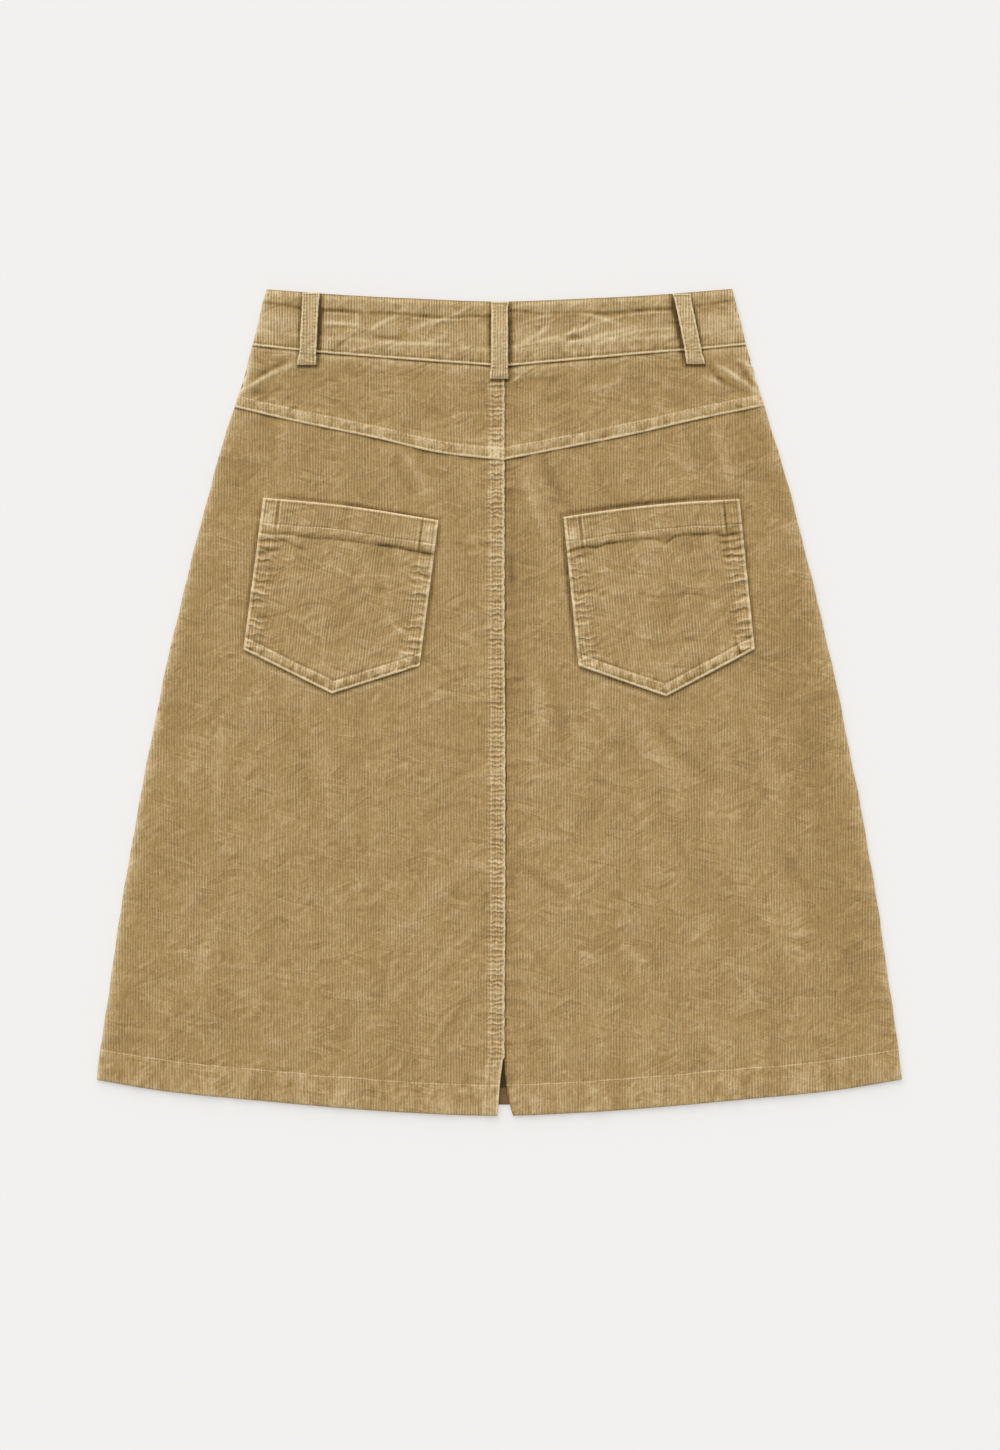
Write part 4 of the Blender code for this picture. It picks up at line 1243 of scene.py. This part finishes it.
def back_patches():
    """The back's five pieces: the waistband, and a yoke and a panel each side of the seam."""
    nearby_shade = painted_shade_lines()
    band = Patch(
        name="waistband_back", left=back_side(-1), right=back_side(1),
        bottom=shifted(waist_seam, HALF_GAP), top=waist_edge,
        left_rim=SIDE_FOLD, right_rim=RIGHT_FOLD, bottom_rim=BAND_FOOT, top_rim=BAND_EDGE,
        underside=BAND_UNDERSIDE, wall=BAND_WALL, pitch=0.9, span=(362, 45), seed=3,
        puckers=(Pucker("bottom", 9.0, 2.2, 12.0, 0.4), Pucker("top", 14.0, 3.0, 9.0, 0.35)),
        rungs=(Rungs("bottom", 4.0, 0.4), Rungs("top", 6.0, 0.25)),
        crumple=Crumple(30.0, 14.0, 36.0, 16.0, 1.1, 0.30),
        creases=BAND_CREASES + nearby_shade, traces=BAND_TRACES, crinkled=1.5, uneven=0.6,
        cut=(0.376, 0.047), area=0.0170, rests_on=["waistband_front"],
    )
    ends = (Pucker("bottom", 9.0, 2.6, 10.0, 0.6), Pucker("top", 10.0, 2.4, 10.0, 0.3))
    yoke_left = band._replace(
        name="yoke_left", right=seam_left,
        bottom=shifted(yoke_seam, HALF_GAP), top=shifted(waist_seam, -HALF_GAP),
        right_rim=FELLED_SEAM, bottom_rim=YOKE_FELL, top_rim=UNDER_BAND,
        underside=BACK_UNDERSIDE, wall=BACK_WALL, sways=True, pitch=1.0, span=(195, 60), seed=4,
        puckers=(*ends, Pucker("right", 6.0, 1.5, 18.0, 0.5)),
        rungs=(Rungs("right", 8.0, 1.15), Rungs("bottom", 5.0, 0.5)),
        crumple=BODY_CRUMPLE._replace(share=20.0, height=0.42),
        creases=BACK_CREASES + nearby_shade, traces=(), crinkled=1.3, uneven=0.5,
        cut=(0.215, 0.092), area=0.0130, rests_on=["front_panel"],
    )
    beside_fell = {
        "left": seam_right, "right": back_side(1), "left_rim": BESIDE_FELL, "right_rim": RIGHT_FOLD
    }
    yoke_right = yoke_left._replace(
        name="yoke_right", **beside_fell, seed=5,
        puckers=(*ends, Pucker("left", 7.0, 1.7, 12.0, 0.35)),
        rungs=(Rungs("left", 2.0, 0.2), Rungs("bottom", 5.0, 0.5)),
    )
    ends = (Pucker("bottom", 8.0, 2.2, 25.0, 0.6), Pucker("top", 9.0, 2.4, 12.0, 0.4))
    back_left = yoke_left._replace(
        name="back_left", bottom=hem_line, top=shifted(yoke_seam, -HALF_GAP),
        bottom_rim=BACK_HEM, top_rim=UNDER_YOKE, pitch=1.35, span=(260, 505), seed=6,
        puckers=(Pucker("right", 6.0, 1.5, 20.0, 0.6), *ends, Pucker("left", 16.0, 3.0, 20.0, 0.4)),
        rungs=(Rungs("right", 8.0, 1.15), Rungs("bottom", 19.0, 0.25)),
        crumple=BODY_CRUMPLE, crinkled=0.7, cut=(0.32, 0.55), area=0.140,
    )
    back_right = back_left._replace(
        name="back_right", **beside_fell, seed=7,
        puckers=(Pucker("left", 6.5, 1.6, 16.0, 0.5), *ends, Pucker("right", 16.0, 3.0, 20.0, 0.4)),
        rungs=(Rungs("left", 2.0, 0.2), Rungs("bottom", 19.0, 0.25)),
        crumple=BODY_CRUMPLE._replace(heading=-14.0),
    )
    return {patch.name: patch for patch in (band, yoke_left, yoke_right, back_left, back_right)}


def turning_lines(width):
    """The lines on a pocket's hem where its turned sides end under it."""
    lines = []
    for start, step in ((POCKET_TURNING, 1.0), (width - POCKET_TURNING, -1.0)):
        for offset, height, tone in ((0.0, -0.45, -0.8), (1.5, 0.25, 0.6)):
            x = start + offset * step
            lines.append(Crease(x, 2.0, x, -POCKET_BAND, height, 0.6, 0.0, tone))
    return tuple(lines)


def pocket_place(pocket):
    """Where a point of a pocket's own axes lies on the skirt."""
    turn = radians(pocket.tilt)

    def place(x, y):
        return pocket.x + x * cos(turn) - y * sin(turn), pocket.y + x * sin(turn) + y * cos(turn)

    return place


def pocket_patch(pocket, panel, seed):
    """A pointed patch pocket in its own axes, with x along its mouth and y down from it."""
    place = pocket_place(pocket)

    def foot(x):
        left = -pocket.left_side - x / pocket.foot_x * (pocket.foot_depth - pocket.left_side)
        share = (pocket.width - x) / (pocket.width - pocket.foot_x)
        right = -pocket.right_side - share * (pocket.foot_depth - pocket.right_side)
        return np.where(x < pocket.foot_x, left, right)

    def mouth(x):
        return pocket.bow * np.sin(pi * np.clip(x / pocket.width, 0.0, 1.0))

    def underside(x, y):
        return top_at(panel, (), *place(x, y)) + GAP

    seams = POCKET_SIDE[-1].inward
    return Patch(
        name=pocket.name, left=lambda y: 0.0 * y, right=lambda y: 0.0 * y + pocket.width,
        bottom=foot, top=mouth,
        left_rim=POCKET_SIDE, right_rim=POCKET_SIDE, bottom_rim=POCKET_FOOT, top_rim=POCKET_MOUTH,
        underside=underside, wall=POCKET_WALL, pitch=1.0, span=(pocket.width, pocket.left_side),
        puckers=(
            Pucker("left", 5.6, 1.3, 18.0, 0.9),
            Pucker("right", 5.6, 1.3, 18.0, 0.9),
            Pucker("bottom", 7.0, 1.8, 12.0, 0.45),
            Pucker("top", 12.0, 3.0, 20.0, 0.35),
        ),
        rungs=(Rungs("bottom", 7.0, 0.85), Rungs("left", 10.5, 1.0), Rungs("right", 10.5, 1.0)),
        crumple=Crumple(32.0, 8.0, 32.0, 23.0, 1.7, 0.34),
        creases=POCKET_CREASES[pocket.name] + turning_lines(pocket.width),
        traces=POCKET_TRACES[pocket.name], crinkled=1.0, uneven=0.6, seed=seed,
        cut=(0.155, 0.165), area=0.0210, rests_on=[panel.name],
        middle=(pocket.foot_x - seams) / (pocket.width - 2 * seams), place=place,
    )


def loop_patch(loop, back, seed):
    """A belt loop, tacked down at both ends, with some slack over the waistband between them."""

    def cloth_below(x, y):
        yoke = np.where(
            x < SEAM_X, top_at(back["yoke_left"], (), x, y), top_at(back["yoke_right"], (), x, y)
        )
        return np.where(y > waist_seam(x), top_at(back["waistband_back"], (), x, y), yoke)

    def underside(x, y):
        steps = (-LOOP_REACH, 0.0, LOOP_REACH)
        near = [cloth_below(x + step_x, y + step_y) for step_x in steps for step_y in steps]
        from_end = np.minimum(y - loop.foot_y, loop.top_y - y) - LOOP_TACK
        half = (loop.top_y - loop.foot_y) / 2 - LOOP_TACK
        slack = LOOP_SLACK * np.sin(pi / 2 * np.clip(from_end / half, 0.0, 1.0))
        return np.maximum.reduce(near) + GAP + slack

    def half(y, spread, start):
        flare = spread.foot * np.exp(-(((y - loop.foot_y) / LOOP_FOOT_SPREAD) ** 4))
        flare = flare + spread.top * np.exp(-(((loop.top_y - y) / LOOP_TOP_SPREAD) ** 2))
        return LOOP_WIDTH / 2 + flare + LOOP_RIPPLE * ripples(LOOP_WAVES, y, start) / 2

    return Patch(
        name=loop.name, left=lambda y: loop_middle(loop, y) - half(y, loop.left, 0.0),
        right=lambda y: loop_middle(loop, y) + half(y, loop.right, 2.0),
        bottom=lambda x: 0.0 * x + loop.foot_y, top=lambda x: 0.0 * x + loop.top_y,
        left_rim=LOOP_EDGE, right_rim=LOOP_EDGE, bottom_rim=LOOP_END, top_rim=LOOP_END,
        underside=underside, wall=LOOP_WALL, pitch=0.6, seed=seed,
        span=(LOOP_WIDTH, loop.top_y - loop.foot_y),
        puckers=(Pucker("left", 5.0, 1.3, 4.0, 0.25), Pucker("right", 5.0, 1.3, 4.0, 0.25)),
        rungs=(Rungs("left", -3.0, 1.5), Rungs("right", -3.0, 1.5)),
        crumple=Crumple(90.0, 5.0, 40.0, 7.0, 0.8, 0.22), crinkled=0.5, uneven=0.3,
        cut=(LOOP_WIDTH * MM, LOOP_CUT * MM), area=LOOP_WIDTH * LOOP_CUT * MM * MM,
        rests_on=["waistband_back"],
    )


def pocket_patches(back):
    """The two pockets, each on its own side's panel."""
    return [
        pocket_patch(pocket, back[pocket.name.replace("pocket", "back")], seed)
        for seed, pocket in enumerate(POCKETS, POCKET_SEED)
    ]


def loop_patches(back):
    """The three belt loops."""
    return [loop_patch(loop, back, seed) for seed, loop in enumerate(LOOPS, LOOP_SEED)]


# A row of stitches: the piece that it is sewn through, the border that it follows, how far in from
# it, where along the border it starts and ends, and how thick its thread is beside the others'.
Row = namedtuple("Row", "piece border inward start end weight", defaults=(1.0,))
PANEL_ROWS = table(
    Row,
    ("yoke_left", "right", 1.2, 187, 254), ("yoke_left", "right", 8.4, 187, 254),
    ("back_left", "right", 1.2, -311, 183), ("back_left", "right", 8.4, -311, 183),
    ("yoke_left", "bottom", 2.3, -200, 2), ("yoke_left", "bottom", 8.4, -198, -7),
    ("yoke_right", "bottom", 2.3, 6, 200), ("yoke_right", "bottom", 8.4, 6, 198),
    ("back_left", "bottom", 23.4, -301, -3, 0.75), ("back_right", "bottom", 23.4, 11, 301, 0.75),
    ("waistband_back", "bottom", 2.3, -184, 185),
)
POCKET_ROWS = table(
    Row,
    ("", "top", 2.2, 2, 132), ("", "top", 19.4, 2, 132), ("", "left", 2.3, -115, -2),
    ("", "left", 10.1, -112, -26), ("", "right", 2.3, -111, -2), ("", "right", 10.1, -108, -26),
    ("", "bottom", 2.5, 2, 132), ("", "bottom", 8.9, 8, 126),
)
LOOP_ROW_INWARD = 2.0
LOOP_ROW_END = 4.0
TACK_INWARD = 1.4
TACK_LENGTH = 1.7
TACK_SPACING = 0.75
STITCH_SINK = 0.12
STITCH_STRAY = 0.05
STITCH_LENGTHS = (0.85, 1.05)
STITCH_SEED = 50
TACK_SEED = 60


def row_points(patch, row, spacing, rng):
    """The ends of the short runs that a row's stitches lie along, in the patch's own axes."""
    count = round((row.end - row.start) / spacing)
    along = row.start + (np.arange(count) + 0.5) * (row.end - row.start) / count
    along = along + rng.normal(0.0, STITCH_STRAY, count) * spacing
    inward = -row.inward if row.border in ("right", "top") else row.inward

    def at(place):
        across = getattr(patch, row.border)(place) + inward
        return (across, place) if row.border in ("left", "right") else (place, across)

    return at(along - 0.5), at(along + 0.5)


def add_stitches(bm, patch, creases, starts, ends, length, width, rng):
    """Adds a stitch along each short run from one point to the other."""
    low, high = placed(patch, *starts), placed(patch, *ends)
    low_z, high_z = top_at(patch, creases, *starts), top_at(patch, creases, *ends)
    for x1, y1, z1, x2, y2, z2 in zip(*low, low_z, *high, high_z):
        run = Vector((x2 - x1, y2 - y1, z2 - z1))
        middle = Vector(((x1 + x2) / 2, (y1 + y2) / 2, (z1 + z2) / 2 + STITCH_SINK))
        size = Matrix.Diagonal((length * rng.uniform(*STITCH_LENGTHS), width, width, 1.0))
        turn = run.to_track_quat("X", "Z").to_matrix().to_4x4()
        matrix = Matrix.Translation(middle) @ turn @ size
        bmesh.ops.create_icosphere(bm, subdivisions=1, radius=0.5, matrix=matrix)


def thread_piece(bm, name, finish):
    """The stitches of one group of pieces as one joined mesh."""
    piece = piece_from(bm, name, [finish])
    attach(piece, BODY)


def sew_rows(bm, patch, rows, settings):
    """Adds a piece's rows of stitches."""
    _, _, creases = patch_points(patch)
    rng = np.random.default_rng(patch.seed + STITCH_SEED)
    for row in rows:
        starts, ends = row_points(patch, row, settings.spacing, rng)
        width = settings.width * row.weight
        add_stitches(bm, patch, creases, starts, ends, settings.length, width, rng)


def bar_tack(bm, patch, row, settings):
    """Adds a bar tack, a close row of short stitches across the row's direction."""
    _, _, creases = patch_points(patch)
    rng = np.random.default_rng(patch.seed + TACK_SEED)
    (x1, y1), (x2, y2) = row_points(patch, row, TACK_SPACING, rng)
    middle_x, middle_y = (x1 + x2) / 2, (y1 + y2) / 2
    run_x, run_y = -(y2 - y1), x2 - x1
    starts = (middle_x - run_x / 2, middle_y - run_y / 2)
    ends = (middle_x + run_x / 2, middle_y + run_y / 2)
    add_stitches(bm, patch, creases, starts, ends, TACK_LENGTH, settings.width, rng)


def amount(name, description, default, **limits):
    """A setting that is a number."""
    return bpy.props.FloatProperty(name=name, description=description, default=default, **limits)


def tint(name, description, default):
    """A setting that is a colour."""
    return bpy.props.FloatVectorProperty(
        name=name, description=description, default=default, subtype="COLOR"
    )


class CorduroySettings(bpy.types.PropertyGroup):
    """The corduroy that the skirt is cut from."""

    pitch: amount("Wale spacing", "From one wale to the next, in millimetres", 2.1, min=0.5)
    drift: amount("Wale drift", "How far wales wander sideways, in millimetres", 2.0, min=0.0)
    body: tint("Body colour", "Colour of the cloth's pile", (0.391, 0.255, 0.098))
    shadow: tint("Shadow colour", "Colour deep in a seam", (0.10, 0.06, 0.02))
    worn: tint("Worn colour", "Colour where the pile has worn off", (0.76, 0.60, 0.36))
    sheen: amount("Sheen", "Strength of the pile's sheen", 0.25, min=0.0, max=1.0)


class ThreadSettings(bpy.types.PropertyGroup):
    """The sewing thread."""

    colour: tint("Colour", "Colour of the sewing thread", (0.56, 0.43, 0.25))
    dark: tint("Dark flecks", "Colour of the thread's darker fibres", (0.38, 0.27, 0.13))
    length: amount("Stitch length", "What shows of a stitch, in millimetres", 2.3, min=0.5)
    spacing: amount("Stitch spacing", "From one stitch to the next, in millimetres", 3.0, min=0.5)
    width: amount("Thread width", "Width of the thread, in millimetres", 0.42, min=0.1)


class StageSettings(bpy.types.PropertyGroup):
    """The floor, the light and the camera."""

    floor: tint("Floor colour", "Colour of the floor", (0.877, 0.861, 0.845))
    glow: amount("Floor glow", "Share of its light that it gives off", 0.47, min=0.0, max=1.0)
    key: amount("Key light", "Strength of the soft key light", 2.5, min=0.0)
    fill: amount("Fill light", "Strength of the even light from all round", 0.50, min=0.0)


class SKIRT_OT_front(bpy.types.Operator):
    """Build the front panel and the front of the waistband, inner side up"""

    bl_idname = "skirt.front"
    bl_label = "Front"

    def execute(self, context):
        settings = context.scene.skirt_corduroy
        inside = inner_cloth("corduroy_inner_side", settings)
        band, panel = front_patches()
        sew(band, [inside])
        sew(panel, [inside])
        return {"FINISHED"}


class SewnPieces:
    """Sews the pieces that an operator names, or gives as patches, in one finish."""

    shift = 0.0
    contrast = 1.0
    gathers = SEAM_GATHERS
    slot = "corduroy"

    def patches(self):
        back = back_patches()
        return [back[name] for name in self.pieces]

    def execute(self, context):
        settings = context.scene.skirt_corduroy
        finish = corduroy(self.finish, settings, self.shift, self.contrast, self.gathers)
        for patch in self.patches():
            sew(patch, [finish])
        return {"FINISHED"}


class SKIRT_OT_panels(SewnPieces, bpy.types.Operator):
    """Build the back's two panels"""

    bl_idname = "skirt.panels"
    bl_label = "Back panels"
    finish = "corduroy_panels"
    pieces = ("back_left", "back_right")


class SKIRT_OT_yokes(SewnPieces, bpy.types.Operator):
    """Build the back yoke's two halves"""

    bl_idname = "skirt.yokes"
    bl_label = "Back yokes"
    finish = "corduroy_yokes"
    pieces = ("yoke_left", "yoke_right")


class SKIRT_OT_waistband(SewnPieces, bpy.types.Operator):
    """Build the back of the waistband"""

    bl_idname = "skirt.waistband"
    bl_label = "Waistband"
    finish = "corduroy_waistband"
    pieces = ("waistband_back",)
    shift = 0.08
    contrast = 1.6


class SKIRT_OT_pockets(SewnPieces, bpy.types.Operator):
    """Build the two patch pockets"""

    bl_idname = "skirt.pockets"
    bl_label = "Pockets"
    finish = "corduroy_pockets"
    shift = 0.01
    gathers = POCKET_GATHERS

    def patches(self):
        return pocket_patches(back_patches())


class SKIRT_OT_belt_loops(SewnPieces, bpy.types.Operator):
    """Build the three belt loops"""

    bl_idname = "skirt.belt_loops"
    bl_label = "Belt loops"
    finish = "corduroy_belt_loops"
    shift = 0.21
    contrast = 1.6
    gathers = LOOP_GATHERS
    slot = "corduroy_worn"

    def patches(self):
        return loop_patches(back_patches())


class SKIRT_OT_stitching(bpy.types.Operator):
    """Sew the seams, the hem and the pockets with rows of stitches, and tack the belt loops"""

    bl_idname = "skirt.stitching"
    bl_label = "Stitching"

    def execute(self, context):
        settings = context.scene.skirt_thread
        finish = thread_finish(settings)
        back = back_patches()
        bm = bmesh.new()
        for name, patch in back.items():
            sew_rows(bm, patch, [row for row in PANEL_ROWS if row.piece == name], settings)
        thread_piece(bm, "seam_stitches", finish)
        bm = bmesh.new()
        for patch in pocket_patches(back):
            sew_rows(bm, patch, POCKET_ROWS, settings)
        thread_piece(bm, "pocket_stitches", finish)
        bm = bmesh.new()
        for loop, patch in zip(LOOPS, loop_patches(back)):
            ends = (loop.foot_y + LOOP_ROW_END, loop.top_y - LOOP_ROW_END)
            rows = [Row("", border, LOOP_ROW_INWARD, *ends) for border in ("left", "right")]
            sew_rows(bm, patch, rows, settings)
            for border, x in (("bottom", loop.foot_x), ("top", loop.top_x)):
                tack = Row("", border, TACK_INWARD, x - LOOP_WIDTH / 2, x + LOOP_WIDTH / 2)
                bar_tack(bm, patch, tack, settings)
        thread_piece(bm, "belt_loop_stitches", finish)
        return {"FINISHED"}


class SKIRT_OT_stage(bpy.types.Operator):
    """Build the floor, the lights and the camera"""

    bl_idname = "skirt.stage"
    bl_label = "Stage"

    def execute(self, context):
        settings = context.scene.skirt_stage
        bm = bmesh.new()
        bmesh.ops.create_grid(bm, x_segments=1, y_segments=1, size=FLOOR_HALF)
        mesh = bpy.data.meshes.new("floor")
        bm.to_mesh(mesh)
        bm.free()
        mesh.materials.append(floor_finish(settings.floor, settings.glow))
        floor = bpy.data.objects.new("floor", mesh)
        context.collection.objects.link(floor)

        key = bpy.data.lights.new("key_light", "SUN")
        key.energy = settings.key
        key.angle = KEY_ANGLE
        lamp = bpy.data.objects.new("key_light", key)
        lamp.rotation_euler = Vector(KEY_FROM).to_track_quat("Z", "Y").to_euler()
        context.collection.objects.link(lamp)

        world = bpy.data.worlds.new("studio")
        world.use_nodes = True
        light = world.node_tree.nodes["Background"]
        light.inputs["Color"].default_value = (1.0, 1.0, 1.0, 1.0)
        light.inputs["Strength"].default_value = settings.fill
        context.scene.world = world

        data = bpy.data.cameras.new("camera")
        data.lens = LENS
        camera = bpy.data.objects.new("camera", data)
        camera.location = CAMERA_AT
        context.collection.objects.link(camera)
        context.scene.camera = camera
        context.scene.view_settings.view_transform = "Standard"
        return {"FINISHED"}


class SKIRT_PT_panel(bpy.types.Panel):
    """Lists the skirt's settings and the operators that build it."""

    bl_idname = "SKIRT_PT_panel"
    bl_label = "Corduroy skirt"
    bl_space_type = "VIEW_3D"
    bl_region_type = "UI"
    bl_category = "Skirt"

    def draw(self, context):
        layout = self.layout
        for group in GROUPS:
            settings = getattr(context.scene, group)
            box = layout.box()
            for name in settings.__annotations__:
                box.prop(settings, name)
        for operator in OPERATORS:
            layout.operator(operator.bl_idname)


GROUPS = {
    "skirt_corduroy": CorduroySettings,
    "skirt_thread": ThreadSettings,
    "skirt_stage": StageSettings,
}
OPERATORS = (
    SKIRT_OT_stage,
    SKIRT_OT_front,
    SKIRT_OT_panels,
    SKIRT_OT_yokes,
    SKIRT_OT_waistband,
    SKIRT_OT_pockets,
    SKIRT_OT_belt_loops,
    SKIRT_OT_stitching,
)


def register():
    for name, group in GROUPS.items():
        bpy.utils.register_class(group)
        setattr(bpy.types.Scene, name, bpy.props.PointerProperty(type=group))
    for item in (*OPERATORS, SKIRT_PT_panel):
        bpy.utils.register_class(item)


def unregister():
    for item in (SKIRT_PT_panel, *reversed(OPERATORS)):
        bpy.utils.unregister_class(item)
    for name, group in reversed(list(GROUPS.items())):
        delattr(bpy.types.Scene, name)
        bpy.utils.unregister_class(group)


def main():
    register()
    bpy.ops.skirt.stage()
    bpy.ops.skirt.front()
    bpy.ops.skirt.panels()
    bpy.ops.skirt.yokes()
    bpy.ops.skirt.waistband()
    bpy.ops.skirt.pockets()
    bpy.ops.skirt.belt_loops()
    bpy.ops.skirt.stitching()


if __name__ == "__main__":
    main()
